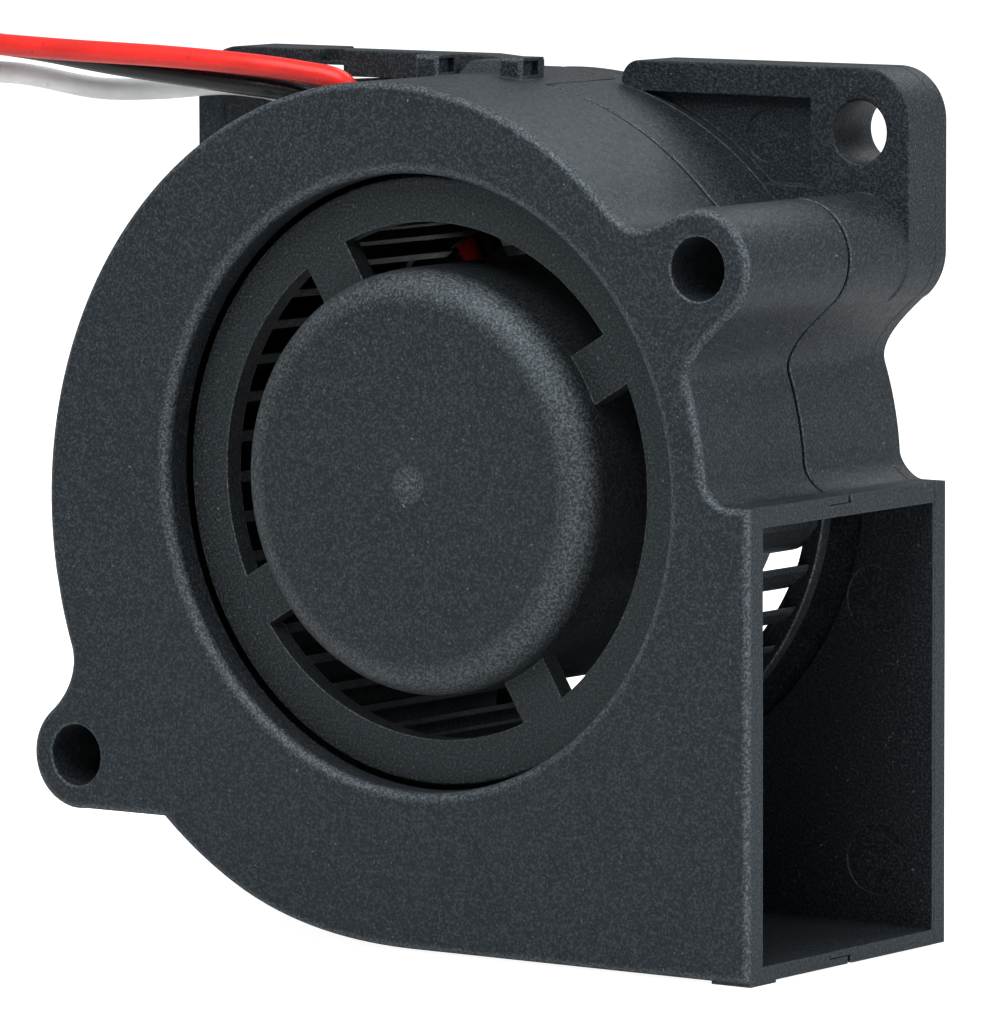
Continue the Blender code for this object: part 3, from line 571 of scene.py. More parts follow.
# ---- housing ------------------------------------------------------------------------------

def lap_outline(margin, end_x):
    """The line along the middle of the wall where cover and housing overlap."""
    return inset(anticlockwise(body_outline(end_x + margin)), margin)


def tab_outlines():
    """Strips of the scroll's top wall that belong to the cover behind the parting line."""
    right, middle, left = TAB_DEGREES
    pieces = []
    for start, end, back in zip((right, middle), (middle, left), TAB_BACK_H):
        outer = scroll(start, end, -0.01)
        inner = scroll(end, start, SIDE_WALL)
        pieces.append((outer + inner, back))
    return pieces


def make_front_cover(material):
    """Front half of the scroll, with its inlet, top hooks, catch and rear-reaching tabs."""
    holes = [circle(BOSS, HOLE_RADIUS), circle(EAR, HOLE_RADIUS)]
    outer = rounded_side(THICKNESS, COVER_BACK_H, FACE_ROUND, EDGE_ROUND)
    bored = rounded_side(THICKNESS, COVER_BACK_H, 0.15, EDGE_ROUND)
    lip = rounded_side(THICKNESS, COVER_BACK_H, INLET_LIP, EDGE_ROUND, steps=7)
    loops = [(circle((0.0, 0.0), INLET_RADIUS, 2.0), lip)] + [(hole, bored) for hole in holes]
    cover = prism("front_cover_shell", body_outline(), outer, loops)
    cavity = block("cavity", cavity_outline(), THICKNESS - FRONT_WALL, COVER_BACK_H - PAST)
    step = block("step", lap_outline(LAP, OUTLET_X + PAST), TONGUE_H + 0.1, COVER_BACK_H - PAST)
    combine(cover, cut=[cavity, step])
    parts = [cover, inlet_rim()]
    for outline, back in tab_outlines():
        parts.append(block("tab", outline, COVER_BACK_H + 0.5, back))
    parts += [hook(x) for x in HOOK_CENTRES]
    parts += [catch_lug(), corner_pad()]
    cover = gather("front_cover_shell", parts)
    return finish_piece(cover, "housing", ["front_cover"], material)


def inlet_rim():
    """Low ring inside the cover round the inlet."""
    inner, outer = INLET_RADIUS + 0.03, INLET_RADIUS + 0.9
    back, front = INLET_RIM_H
    return turned("inlet_rim", [(inner, front), (inner, back), (outer, back), (outer, front)])


def hook(x):
    """Snap hook on the cover's top: a block over the parting line, with a pocket in its side."""
    half = HOOK_WIDTH / 2
    back, front = HOOK_H
    outline = rectangle(x - half, x + half, HOOK_FOOT, HOOK_TOP)
    body = prism("hook_body", outline, rounded_side(front, back, 0.3, 0.2))
    pocket_back, pocket_front = POCKET_H
    opening = rectangle(x + half - 0.45, x + half + 0.5, POCKET_FOOT, HOOK_TOP - 0.2)
    return combine(body, cut=[block("hook_pocket", opening, pocket_front, pocket_back)])


def catch_lug():
    """The catch between the hooks, sloped at its front."""
    foot, nose, top = 21.75, 22.4, 23.15
    side = ((foot, LUG_BACK_H), (foot, 9.6), (nose, 9.6), (top - 0.05, 8.4), (top, 8.2),
            (top, LUG_BACK_H))
    work = bmesh.new()
    ends = [[work.verts.new(world(x, z, h)) for z, h in side] for x in LUG_X]
    for k in range(len(side)):
        work.faces.new((ends[0][k - 1], ends[0][k], ends[1][k], ends[1][k - 1]))
    for end in ends:
        work.faces.new(end)
    return solid("catch_lug", mesh_from(work, "catch_lug"))


def corner_pad():
    """Small raised pad under the outlet's front corner."""
    width, length, proud, sunk = 2.6, 2.65, 0.16, 0.3
    right, front = OUTLET_X - 0.02, THICKNESS - 0.25
    outline = rectangle(OUTLET_X - width, right, BOTTOM_Z - proud, BOTTOM_Z + sunk)
    return prism("corner_pad", outline, rounded_side(front, front - length, 0.1, 0.1))


def make_rear_housing(material):
    """Rear half of the scroll, with its flanges, motor base and the way out for the leads."""
    housing = prism("rear_housing_shell", body_outline(), side_with_mould_line(HOUSING_FRONT_H))
    play, root_h = 0.05, HOUSING_FRONT_H - 0.5
    tongue_outline = lap_outline(LAP + play, OUTLET_X - 0.02)
    tongue = prism("tongue", tongue_outline, rounded_side(TONGUE_H, root_h, 0.05, 0.0))
    # The left flange is a hair thinner, so that no two faces of the solids to join coincide.
    hair = 0.01
    right_side = side_with_mould_line(FLANGE_THICKNESS)
    left_side = side_with_mould_line(FLANGE_THICKNESS - hair)
    flanges = [prism("right_flange", right_flange_outline(), right_side),
               prism("left_flange", left_flange_outline(), left_side)]
    combine(housing, joined=[tongue] + flanges)
    over_flange = FLANGE_THICKNESS + PAST
    rear_inlet = circle((0.0, 0.0), REAR_INLET_RADIUS, 2.5)
    recess = circle((0.0, 0.0), RECESS_RADIUS, 2.5)
    rib_notch = rectangle(*RIB_NOTCH_X, RIB_NOTCH_FOOT, FLANGE_TOP_Z + PAST)
    cuts = [
        block("field", flange_field(), over_flange, WEB_THICKNESS),
        block("rib_back", rib_back_outline(), RIB_BACK_H, -PAST),
        block("cavity", cavity_outline(), TONGUE_H + PAST, REAR_WALL),
        block("rear_inlet", rear_inlet, 5.0, -PAST),
        block("window", window_outline(), over_flange, -PAST),
        block("recess", recess, REAR_WALL + 0.5, REAR_WALL - RECESS_DEPTH),
        block("rib_notch", rib_notch, over_flange, RIB_NOTCH_BACK_H),
    ]
    for outline, back in tab_outlines():
        gap = inset(anticlockwise(outline), -TAB_GAP)
        cuts.append(block("tab_gap", gap, TONGUE_H + PAST, back - TAB_GAP))
    cuts += ejector_marks()
    for centre, front in ((BOSS, TONGUE_H), (EAR, TONGUE_H), (FLANGE_HOLE, FLANGE_THICKNESS)):
        cuts.append(drill(centre, front, 0.0))
    combine(housing, cut=cuts)
    combine(housing, joined=motor_base())
    combine(housing, cut=lead_channel())
    return finish_piece(housing, "housing", ["rear_housing"], material)


def rib_back_outline():
    """The part behind the left rib that is left out to the right of the flange's body."""
    rib_foot = 22.43
    return rectangle(RIB_BACK_START, LEFT_RIB_END + 0.4, rib_foot, FLANGE_TOP_Z + PAST)


def lead_channel():
    """Channel from the motor out through the scroll's wall, roofed over where the impeller turns."""
    _, cover_end, under_cover, _ = LEAD_COVER
    inside = BASE_RADIUS - 2.0
    whole_length = (inside, LEAD_CHANNEL_END, under_cover)
    through_rim = (inside, BASE_RADIUS + 1.0, BASE_RIM_H + 0.5)
    through_wall = (cover_end, LEAD_CHANNEL_END, LEAD_GAP_H)
    cuts = []
    for near, far, top in (whole_length, through_rim, through_wall):
        run = strip(LEAD_CHANNEL_DEG, LEAD_CHANNEL_WIDTH, near, far)
        cuts.append(block("channel", run, top, BASE_FLOOR))
    return cuts


def side_with_mould_line(front):
    """Rounded side wall with the fine groove that the mould's two plates leave near the back."""
    profile = rounded_side(front, 0.0, EDGE_ROUND, FLANGE_ROUND)
    front_points = 8
    depth, shape = 0.05, ((0.0, 0.05), (1.0, 0.02), (1.0, -0.02), (0.0, -0.05))
    groove = [(depth * part, MOULD_LINE_H + rise, 0.0) for part, rise in shape]
    return profile[:front_points] + groove + profile[front_points:]


def drill(centre, front, back, soft=0.15):
    """Cutter for a bore whose rims are rounded off at the front and back faces."""
    wide = HOLE_RADIUS + soft
    profile = [(0.0, front + PAST), (wide, front + PAST)]
    profile += arc((wide, front - soft), soft, 90.0, 180.0, 18.0)
    profile += arc((wide, back + soft), soft, 180.0, 270.0, 18.0)
    profile += [(wide, back - PAST), (0.0, back - PAST)]
    return moved(turned("drill", profile, 72), centre)


def moved(piece, centre):
    for vertex in piece.data.vertices:
        vertex.co += world(*centre, 0.0)
    return piece


def ejector_marks():
    """Shallow round marks that ejector pins leave on the flange and in the outlet."""
    marks = []
    for place, radius, surface in EJECTOR_MARKS:
        high, low = surface + 0.5, surface - 0.05
        mark = turned("mark", [(0.0, high), (radius, high), (radius, low), (0.0, low)], 48)
        marks.append(moved(mark, place))
    return marks


def motor_base():
    """Round tray that holds the motor, with its struts and the bed and roof of the lead channel."""
    rim, edge_round = BASE_RADIUS - 0.7, 0.25
    seat_in, seat_out = SEAT_RADII
    profile = [(0.0, BASE_FLOOR), (seat_in, BASE_FLOOR), (seat_in, SEAT_H), (seat_out, SEAT_H),
               (seat_out, BASE_FLOOR), (rim, BASE_FLOOR), (rim, BASE_RIM_H), (BASE_RADIUS, BASE_RIM_H),
               (BASE_RADIUS, edge_round), (BASE_RADIUS - edge_round, 0.0), (0.0, 0.0)]
    parts = [turned("base", profile)]
    near, far = BASE_RADIUS - 0.4, REAR_INLET_RADIUS + 1.0
    for degrees in STRUT_DEGREES:
        parts.append(block("strut", strip(degrees, STRUT_WIDTH, near, far), REAR_WALL - 0.1, 0.05))
    wide = LEAD_CHANNEL_WIDTH + 2 * LEAD_SIDE_WALL
    parts.append(block("bed", strip(LEAD_CHANNEL_DEG, wide, near, far), REAR_WALL - 0.05, 0.02))
    start, end, _, top = LEAD_COVER
    parts.append(block("roof", strip(LEAD_CHANNEL_DEG, wide, start, end), top, REAR_WALL - 0.1))
    return parts


# ---- impeller -----------------------------------------------------------------------------

def make_hub():
    """Cup with a rounded edge, lighter with wear and a painted highlight, and the moulding gate's mark in
    its middle.
    """
    top, inside = HUB_FRONT_H, HUB_RADIUS - HUB_WALL
    face_back = top - HUB_FACE_THICKNESS
    profile = [(r, top - below, lightening) for r, below, lightening in GATE_MARK]
    profile += [(1.15, top), (4.0, top), (8.0, top)]
    edge_centre = (HUB_RADIUS - HUB_ROUND, top - HUB_ROUND)
    for degrees in range(90, -1, -10):
        r, h = polar(HUB_ROUND, degrees, edge_centre)
        # Wear and painted highlight along the rounded edge, strongest halfway round the curve.
        profile.append((r, h, 0.8 * math.sin(math.radians(2 * degrees))))
    profile += [(HUB_RADIUS + 0.05, PLATE_FRONT_H), (HUB_RADIUS + 0.12, HUB_SKIRT_H)]
    profile += [(inside, HUB_SKIRT_H), (inside, face_back), (0.0, face_back)]
    return turned("hub", profile, 144)


def make_front_plate():
    """Ring in front of the blades, joined to the hub by four spokes."""
    edge = rounded_side(PLATE_FRONT_H, PLATE_BACK_H, 0.18, 0.08, steps=4, guard=0.06)
    slot_edge = rounded_side(PLATE_FRONT_H, PLATE_BACK_H, 0.07, 0.05, steps=3, guard=0.05)
    plain = rounded_side(PLATE_FRONT_H, PLATE_BACK_H)
    holes = []
    for start in SPOKE_DEGREES:
        slot = slot_outline(start, start + 90.0, HUB_RADIUS - 0.2, PLATE_INNER_RADIUS)
        holes.append((slot, slot_edge))
    holes.append((circle((0.0, 0.0), HUB_RADIUS - 0.5, 4.0), plain))
    return prism("plate", circle((0.0, 0.0), PLATE_OUTER_RADIUS, 2.0), edge, holes)


def make_impeller(material):
    """Hub, front plate, blades and back ring, all one moulding."""
    inner, outer = [circle((0.0, 0.0), radius, 2.5) for radius in BACK_RING_RADII]
    low, high = BACK_RING_H
    ring = prism("ring", outer, rounded_side(high, low, 0.12, 0.12, steps=3), [inner])
    parts = [make_hub(), make_front_plate(), ring]
    for k in range(BLADE_COUNT):
        outline = blade_outline(FIRST_BLADE_DEG + 360.0 * k / BLADE_COUNT)
        parts.append(block("blade", outline, PLATE_BACK_H + 0.3, low + 0.3))
    impeller = gather("impeller_moulding", parts)
    return finish_piece(impeller, "rotor", ["impeller"], material)


# ---- leads --------------------------------------------------------------------------------

# Each lead's place across the channel, and the points it passes on its way out to the left.
LEADS = (
    ("red_lead", "red_pvc", LEAD_PITCH,
     ((-13.9, 19.0, 3.0), (-14.6, 20.0, 4.9), (-15.4, 21.5, 5.9), (-17.8, 22.0, 6.5),
      (-21.7, 22.4, 7.2), (-27.2, 22.7, 7.7), (-34.4, 22.9, 8.0), (-45.0, 23.3, 8.0))),
    ("black_lead", "black_pvc", 0.0,
     ((-12.9, 19.9, 2.1), (-15.2, 20.5, 3.4), (-17.8, 20.5, 4.8), (-19.8, 20.9, 5.7),
      (-22.6, 21.2, 6.3), (-31.1, 22.0, 6.5), (-38.0, 22.8, 6.5), (-45.0, 23.3, 6.4))),
    ("white_lead", "white_pvc", -LEAD_PITCH,
     ((-11.5, 20.3, 1.65), (-13.2, 20.85, 1.0), (-16.5, 20.8, 1.6), (-20.3, 20.6, 3.8),
      (-22.2, 20.9, 4.7), (-25.0, 21.0, 4.8), (-29.5, 20.6, 4.8), (-34.0, 20.5, 5.0),
      (-39.6, 21.2, 5.3), (-45.0, 21.2, 5.4))),
)


def smooth_path(stations, steps=14):
    """A Catmull-Rom curve through the stations."""
    padded = [stations[0]] + list(stations) + [stations[-1]]
    path = []
    for a, b, c, d in zip(padded, padded[1:], padded[2:], padded[3:]):
        for i in range(steps):
            t = i / steps
            path.append(tuple(
                0.5 * (2 * b[k] + (c[k] - a[k]) * t + (2 * a[k] - 5 * b[k] + 4 * c[k] - d[k]) * t * t
                       + (3 * b[k] - a[k] - 3 * c[k] + d[k]) * t**3)
                for k in range(3)
            ))
    return path + [stations[-1]]


def lead_stations(across, way_out):
    """Along the channel side by side, then out through the window and away to the left."""
    ux, uz = heading(LEAD_CHANNEL_DEG)
    channel_h = BASE_FLOOR + LEAD_RADIUS + 0.1
    along = (10.6, 17.0, LEAD_COVER[1])
    run = [(a * ux - across * uz, a * uz + across * ux, channel_h) for a in along]
    return run + list(way_out)


def make_lead(name, across, way_out, material, core_material):
    """One insulated lead and the stripped strands at its end."""
    path = smooth_path(lead_stations(across, way_out))
    sheath = solid(name + "_sheath", mesh_from(tube(path, LEAD_RADIUS, 28), name))
    end = path[-1]
    bore = [(end[0] + 2.0, *end[1:]), (end[0] - 0.5, *end[1:])]
    combine(sheath, cut=[solid("bore", mesh_from(tube(bore, CORE_RADIUS + 0.1), "bore"))])
    finish_piece(sheath, "housing", [name], material, 40.0)
    core = gather(name + "_strands", strands(end))
    finish_piece(core, "housing", [name + "_core"], core_material, 60.0)


def strands(end):
    """Seven thin wires twisted together: one in the middle and six round it."""
    wire = CORE_RADIUS / 3.0
    start, stop, turn, steps = 1.9, -3.5, 150.0, 24
    parts = []
    for k in range(7):
        away = 0.0 if k == 6 else 2.0 * wire
        path = []
        for i in range(steps + 1):
            t = i / steps
            y, z = polar(away, 60.0 * k + turn * t)
            path.append((end[0] + start + (stop - start) * t, end[1] + z, end[2] + y))
        parts.append(solid("strand", mesh_from(tube(path, wire * 0.98, 10), "strand")))
    return parts


# ---- materials ----------------------------------------------------------------------------

def linear(shade, factor=1.0):
    """Linear colour from a shade in screen values out of 255, made lighter or darker by factor."""
    colour = []
    for value in shade:
        v = min(255.0, value * factor) / 255
        colour.append(v / 12.92 if v <= 0.0404 else ((v + 0.055) / 1.055) ** 2.4)
    return (*colour, 1.0)


SPECK_SHADE = (122, 128, 132)
PLASTIC_TINT = (0.74, 0.89, 1.0, 1.0)


class Shader:
    """Builds a material from nodes, wiring sockets or setting values in one call."""

    def __init__(self, name):
        self.material = bpy.data.materials.new(name)
        self.material.use_nodes = True
        self.tree = self.material.node_tree
        self.tree.nodes.clear()
        self.where = self.add("ShaderNodeTexCoord").outputs["Object"]

    def add(self, kind, inputs=None, **settings):
        node = self.tree.nodes.new(kind)
        for key, value in settings.items():
            setattr(node, key, value)
        for key, value in (inputs or {}).items():
            if isinstance(value, bpy.types.NodeSocket):
                self.tree.links.new(value, node.inputs[key])
            else:
                node.inputs[key].default_value = value
        return node

    def noise(self, size, detail=3.0, roughness=0.6, stretch=None, distortion=0.0):
        """Noise whose features are about size millimetres across."""
        where = self.where
        if stretch:
            where = self.add("ShaderNodeMapping", {"Vector": where, "Scale": stretch}).outputs["Vector"]
        inputs = {"Vector": where, "Scale": 1 / (size * MM), "Detail": detail, "Roughness": roughness,
                  "Distortion": distortion}
        return self.add("ShaderNodeTexNoise", inputs).outputs["Fac"]

    def math(self, operation, a, b=0.0, clamp=False):
        return self.add("ShaderNodeMath", {0: a, 1: b}, operation=operation, use_clamp=clamp).outputs[0]

    def ramp(self, value, low, high, to_low=0.0, to_high=1.0):
        """value mapped from low..high to to_low..to_high, held at the ends."""
        return self.add("ShaderNodeMapRange", {"Value": value, "From Min": low, "From Max": high,
                                               "To Min": to_low, "To Max": to_high}).outputs[0]

    def mix(self, factor, a, b):
        return self.add("ShaderNodeMix", {0: factor, 6: a, 7: b}, data_type="RGBA").outputs[2]

    def edge_mask(self, radius):
        """Near 1 on edges sharper than radius millimetres, 0 on flat faces."""
        rounded = self.add("ShaderNodeBevel", {"Radius": radius * MM}, samples=4).outputs["Normal"]
        plain = self.add("ShaderNodeNewGeometry").outputs["Normal"]
        compared = self.add("ShaderNodeVectorMath", {0: rounded, 1: plain}, operation="DOT_PRODUCT")
        return self.ramp(compared.outputs["Value"], 0.985, 0.85)

    def rub_edges(self, tone, colour, radius, amount=0.5):
        """The tone with its sharp edges part of the way to another colour."""
        return self.mix(self.math("MULTIPLY", self.edge_mask(radius), amount), tone, colour)

    def bump(self, heights, softened=0.0):
        """Bumps from (height, depth in millimetres) pairs, over edges rounded by softened."""
        normal = None
        if softened:
            normal = self.add("ShaderNodeBevel", {"Radius": softened * MM}, samples=4).outputs["Normal"]
        for height, depth in heights:
            inputs = {"Height": height, "Strength": 1.0, "Distance": depth * MM}
            if normal is not None:
                inputs["Normal"] = normal
            normal = self.add("ShaderNodeBump", inputs).outputs["Normal"]
        return normal

    def surface(self, **inputs):
        names = {"colour": "Base Color", "roughness": "Roughness", "metallic": "Metallic",
                 "normal": "Normal", "specular": "Specular IOR Level", "tint": "Specular Tint"}
        shader = self.add("ShaderNodeBsdfPrincipled", {names[k]: v for k, v in inputs.items()})
        self.add("ShaderNodeOutputMaterial", {"Surface": shader.outputs["BSDF"]})
        return self.material


def moulded_plastic(name, shade, wear_and_highlight_shade, roughness, grain):
    """Glass-filled black plastic with a spark-eroded finish, lighter along its edges with wear and a
    painted highlight.
    """
    make = Shader(name)
    fine = make.noise(0.15, 2.0, 0.7)
    coarse = make.noise(0.45, 3.0)
    cloud = make.noise(5.0, 4.0)
    dots = make.noise(0.2, 1.0, 0.8, None, 0.6)
    speck = make.math("MULTIPLY", make.ramp(dots, 0.69, 0.78), make.ramp(coarse, 0.42, 0.62))
    # Painted highlight mixed with real wear: rounded edges, from the mesh attribute, and sharp edges,
    # from the bevel mask, get a lighter colour.
    wear_and_highlight_mask = make.add("ShaderNodeAttribute", attribute_name="wear_and_highlight").outputs["Fac"]
    wear_and_highlight_mask = make.math("MULTIPLY", wear_and_highlight_mask, make.ramp(fine, 0.42, 0.66, 0.12, 1.0))
    edge = make.math("MULTIPLY", make.edge_mask(0.16), make.ramp(coarse, 0.45, 0.7))
    wear_and_highlight_mask = make.math("MAXIMUM", wear_and_highlight_mask, make.math("MULTIPLY", edge, 0.45))
    tone = make.mix(make.ramp(cloud, 0.35, 0.65), linear(shade, 0.92), linear(shade, 1.08))
    tone = make.mix(make.ramp(fine, 0.46, 0.66), tone, linear(shade, 2.9))
    tone = make.mix(make.math("MULTIPLY", speck, 0.8), tone, linear(SPECK_SHADE))
    tone = make.mix(make.math("MULTIPLY", wear_and_highlight_mask, 0.8), tone, linear(wear_and_highlight_shade))
    rough = make.ramp(coarse, 0.3, 0.7, roughness - 0.05, roughness + 0.07)
    rough = make.math("SUBTRACT", rough, make.math("MULTIPLY", wear_and_highlight_mask, 0.06))
    normal = make.bump([(coarse, 0.03 * grain), (fine, 0.05 * grain)], 0.1)
    return make.surface(colour=tone, roughness=rough, normal=normal, specular=0.4, tint=PLASTIC_TINT)


def wire_sheath(name, shade, roughness):
    """Soft PVC with faint smears along it and shallow dents."""
    make = Shader(name)
    dents = make.noise(1.6, 2.0)
    smears = make.noise(2.4, 3.0, 0.5, (0.35, 1.0, 1.0))
    fine = make.noise(0.15, 2.0)
    dirt = make.ramp(make.noise(0.9, 4.0), 0.66, 0.72)
    tone = make.mix(make.ramp(smears, 0.35, 0.65), linear(shade, 0.86), linear(shade, 1.05))
    tone = make.mix(make.math("MULTIPLY", dirt, 0.35), tone, linear(shade, 0.35))
    tone = make.rub_edges(tone, linear(shade, 0.8), 0.15)
    rough = make.ramp(fine, 0.3, 0.7, roughness - 0.06, roughness + 0.08)
    normal = make.bump([(dents, 0.03), (fine, 0.002)])
    return make.surface(colour=tone, roughness=rough, normal=normal, specular=0.35)


def metal(name, shade, roughness, grain_size=0.12, stretch=None, tarnish=None):
    """Brushed metal, patchy with tarnish and brighter along its edges."""
    make = Shader(name)
    brushed = make.noise(grain_size, 3.0, 0.6, stretch)
    patches = make.noise(1.8, 3.0)
    dulled = linear(tarnish) if tarnish else linear(shade, 0.8)
    tone = make.mix(make.ramp(patches, 0.35, 0.7), linear(shade), dulled)
    tone = make.rub_edges(tone, linear(shade, 1.2), 0.08)
    rough = make.ramp(brushed, 0.3, 0.7, roughness - 0.07, roughness + 0.1)
    normal = make.bump([(brushed, 0.006)], 0.05)
    return make.surface(colour=tone, roughness=rough, metallic=1.0, normal=normal)


def dull(name, shade, roughness, grain_size=0.2, lightening=1.25):
    """Board, magnet, ceramic and other matt bodies."""
    make = Shader(name)
    grain = make.noise(grain_size, 3.0)
    patches = make.noise(2.0, 3.0)
    tone = make.mix(make.ramp(patches, 0.3, 0.7), linear(shade, 0.88), linear(shade, 1.1))
    tone = make.rub_edges(tone, linear(shade, lightening), 0.08)
    rough = make.ramp(grain, 0.3, 0.7, roughness - 0.06, roughness + 0.08)
    return make.surface(colour=tone, roughness=rough, normal=make.bump([(grain, 0.008)], 0.05))


def stripes(make, axis, pitch):
    """A wave across one of the object's axes, one period to each pitch in millimetres."""
    across = make.add("ShaderNodeSeparateXYZ", {0: make.where}).outputs[axis]
    return make.math("SINE", make.math("MULTIPLY", across, 2 * math.pi / (pitch * MM)))


def laminated_steel():
    """Stacked sheets: fine lines across the thickness."""
    make = Shader("laminated_steel")
    lines = make.ramp(stripes(make, 1, 0.35), -1.0, -0.6)
    grain = make.noise(0.2, 3.0)
    tone = make.mix(lines, linear((60, 60, 62)), linear((135, 137, 140)))
    tone = make.rub_edges(tone, linear((190, 190, 192)), 0.08, 0.4)
    rough = make.ramp(grain, 0.3, 0.7, 0.35, 0.5)
    normal = make.bump([(lines, 0.01), (grain, 0.004)])
    return make.surface(colour=tone, roughness=rough, metallic=1.0, normal=normal)


def copper_winding():
    """Enamelled wire: fine turns along the coil."""
    make = Shader("copper_winding")
    wave = stripes(make, 0, 0.16)
    grain = make.noise(0.4, 3.0)
    tone = make.mix(make.ramp(grain, 0.3, 0.7), linear((150, 78, 40)), linear((196, 112, 62)))
    tone = make.rub_edges(tone, linear((220, 150, 100)), 0.1, 0.4)
    rough = make.ramp(grain, 0.3, 0.7, 0.25, 0.4)
    return make.surface(colour=tone, roughness=rough, metallic=0.9, normal=make.bump([(wave, 0.02)]))


def make_materials():
    return {
        # The second shade is the lighter colour of worn edges and painted highlights.
        "housing_plastic": moulded_plastic("housing_plastic", (18, 20, 22), (96, 102, 106), 0.5, 1.0),
        "impeller_plastic": moulded_plastic("impeller_plastic", (18, 20, 21), (104, 110, 114), 0.48, 0.9),
        "bobbin_plastic": dull("bobbin_plastic", (214, 210, 196), 0.45),
        "steel": metal("steel", (178, 180, 184), 0.25, 0.1, (1.0, 6.0, 1.0)),
        "laminated_steel": laminated_steel(),
        "magnet": dull("magnet", (62, 58, 56), 0.65, 0.15),
        "brass": metal("brass", (196, 164, 96), 0.28, 0.12, (1.0, 5.0, 1.0), (150, 118, 66)),
        "copper_winding": copper_winding(),
        "tinned_copper": metal("tinned_copper", (196, 192, 184), 0.3, 0.08),
        "circuit_board": dull("circuit_board", (34, 98, 58), 0.4, 0.25),
        "chip_black": dull("chip_black", (34, 34, 35), 0.45, 0.1),
        "ceramic": dull("ceramic", (158, 128, 96), 0.5, 0.15),
        "red_pvc": wire_sheath("red_pvc", (232, 44, 38), 0.32),
        "black_pvc": wire_sheath("black_pvc", (24, 25, 26), 0.3),
        "white_pvc": wire_sheath("white_pvc", (246, 246, 244), 0.35),
    }


# Materials of the pieces inside the motor.
INNER_SLOTS = {
    "rotor_yoke": "steel",
    "rotor_magnet": "magnet",
    "shaft": "steel",
    "shaft_bush": "brass",
    "retaining_clip": "steel",
    "thrust_washer": "bobbin_plastic",
    "bearing_tube": "brass",
    "preload_spring": "steel",
    "stator_core": "laminated_steel",
    "front_insulator": "bobbin_plastic",
    "rear_insulator": "bobbin_plastic",
    "circuit_board": "circuit_board",
    "hall_sensor": "chip_black",
    "driver_ic": "chip_black",
    "capacitor": "ceramic",
    "resistor": "chip_black",
}
for bearing in ("front_bearing", "rear_bearing"):
    for part, slot in (("outer_race", "steel"), ("inner_race", "steel"), ("ball_cage", "brass")):
        INNER_SLOTS[f"{bearing}_{part}"] = slot
for number in range(1, 5):
    INNER_SLOTS[f"coil_{number}"] = "copper_winding"


def paint_packed_nodes(materials):
    """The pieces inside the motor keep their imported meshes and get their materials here."""
    for node, slot in INNER_SLOTS.items():
        piece = frame["nodes"][node]
        piece.data.materials.clear()
        piece.data.materials.append(materials[slot])


# ---- studio -------------------------------------------------------------------------------

WHITE = (1.0, 1.0, 1.0, 1.0)


def make_floor():
    """Pale floor just below the fan. It glows only where the camera looks, so it casts no light."""
    work = bmesh.new()
    size, drop = 4.0, 0.2
    corners = [(-size, -size), (size, -size), (size, size), (-size, size)]
    level = (BOTTOM_Z - drop) * MM
    work.faces.new([work.verts.new((x, y, level)) for x, y in corners])
    floor = solid("floor", mesh_from(work, "floor"))
    make = Shader("pale_floor")
    diffuse = make.add("ShaderNodeBsdfDiffuse", {"Color": (0.8, 0.8, 0.8, 1.0)}).outputs["BSDF"]
    glow = make.add("ShaderNodeEmission", {"Color": WHITE, "Strength": 0.95}).outputs["Emission"]
    seen = make.add("ShaderNodeLightPath").outputs["Is Camera Ray"]
    shown = make.add("ShaderNodeAddShader", {0: diffuse, 1: glow}).outputs["Shader"]
    both = make.add("ShaderNodeMixShader", {0: seen, 1: diffuse, 2: shown}).outputs["Shader"]
    make.add("ShaderNodeOutputMaterial", {"Surface": both})
    floor.data.materials.append(make.material)


def backdrop(tree, colour, strength):
    shade = tree.nodes.new("ShaderNodeBackground")
    shade.inputs["Color"].default_value = colour
    shade.inputs["Strength"].default_value = strength
    return shade.outputs[0]


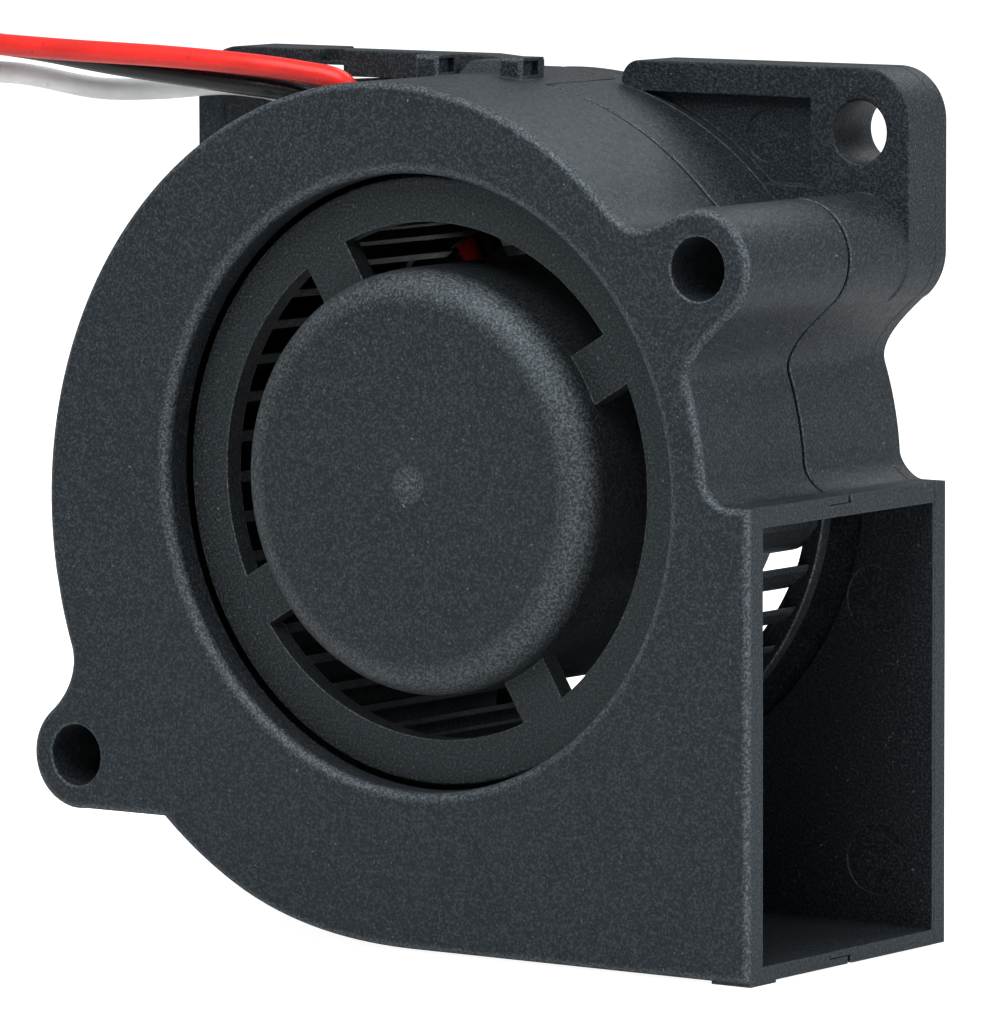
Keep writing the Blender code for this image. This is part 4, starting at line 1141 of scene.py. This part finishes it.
def make_world():
    """White where the camera looks past the fan, and a faint cool fill light everywhere else."""
    studio = bpy.data.worlds.new("studio")
    bpy.context.scene.world = studio
    studio.use_nodes = True
    tree = studio.node_tree
    tree.nodes.clear()
    seen = tree.nodes.new("ShaderNodeLightPath")
    mix = tree.nodes.new("ShaderNodeMixShader")
    output = tree.nodes.new("ShaderNodeOutputWorld")
    tree.links.new(seen.outputs["Is Camera Ray"], mix.inputs[0])
    tree.links.new(backdrop(tree, (0.93, 0.97, 1.0, 1.0), FILL_STRENGTH), mix.inputs[1])
    tree.links.new(backdrop(tree, WHITE, 1.0), mix.inputs[2])
    tree.links.new(mix.outputs[0], output.inputs["Surface"])


def softbox(name, azimuth, elevation, distance, size, power):
    """Square soft light aimed at the fan. Azimuth is measured like the camera's."""
    lamp = bpy.data.lights.new(name, "AREA")
    lamp.size = size
    lamp.energy = power
    made = bpy.data.objects.new(name, lamp)
    bpy.context.scene.collection.objects.link(made)
    away = direction(azimuth, elevation)
    made.location = away * distance
    made.rotation_mode = "QUATERNION"
    made.rotation_quaternion = away.to_track_quat("Z", "Y")


def direction(azimuth, elevation):
    a, e = math.radians(azimuth), math.radians(elevation)
    return Vector((math.sin(a) * math.cos(e), -math.cos(a) * math.cos(e), math.sin(e)))


def make_camera():
    lens = bpy.data.cameras.new("camera")
    lens.lens = LENS
    lens.sensor_width = SENSOR
    lens.clip_start = 0.01
    lens.clip_end = 20.0
    camera = bpy.data.objects.new("camera", lens)
    bpy.context.scene.collection.objects.link(camera)
    back = direction(VIEW_AZIMUTH, VIEW_ELEVATION)
    right = Vector((*heading(VIEW_AZIMUTH), 0.0))
    up = back.cross(right)
    turn = Matrix((right, up, back)).transposed().to_4x4()
    roll = Matrix.Rotation(math.radians(VIEW_ROLL), 4, "Z")
    spot = Vector(VIEW_TARGET) * MM + back * VIEW_DISTANCE * MM
    camera.matrix_world = Matrix.Translation(spot) @ turn @ roll
    bpy.context.scene.camera = camera


def build():
    materials = make_materials()
    make_front_cover(materials["housing_plastic"])
    make_rear_housing(materials["housing_plastic"])
    make_impeller(materials["impeller_plastic"])
    for name, slot, across, way_out in LEADS:
        make_lead(name, across, way_out, materials[slot], materials["tinned_copper"])
    paint_packed_nodes(materials)
    make_floor()
    make_world()
    for name, setting in LIGHTS.items():
        softbox(name, *setting)
    make_camera()
    bpy.context.scene.view_settings.view_transform = "Standard"


build()
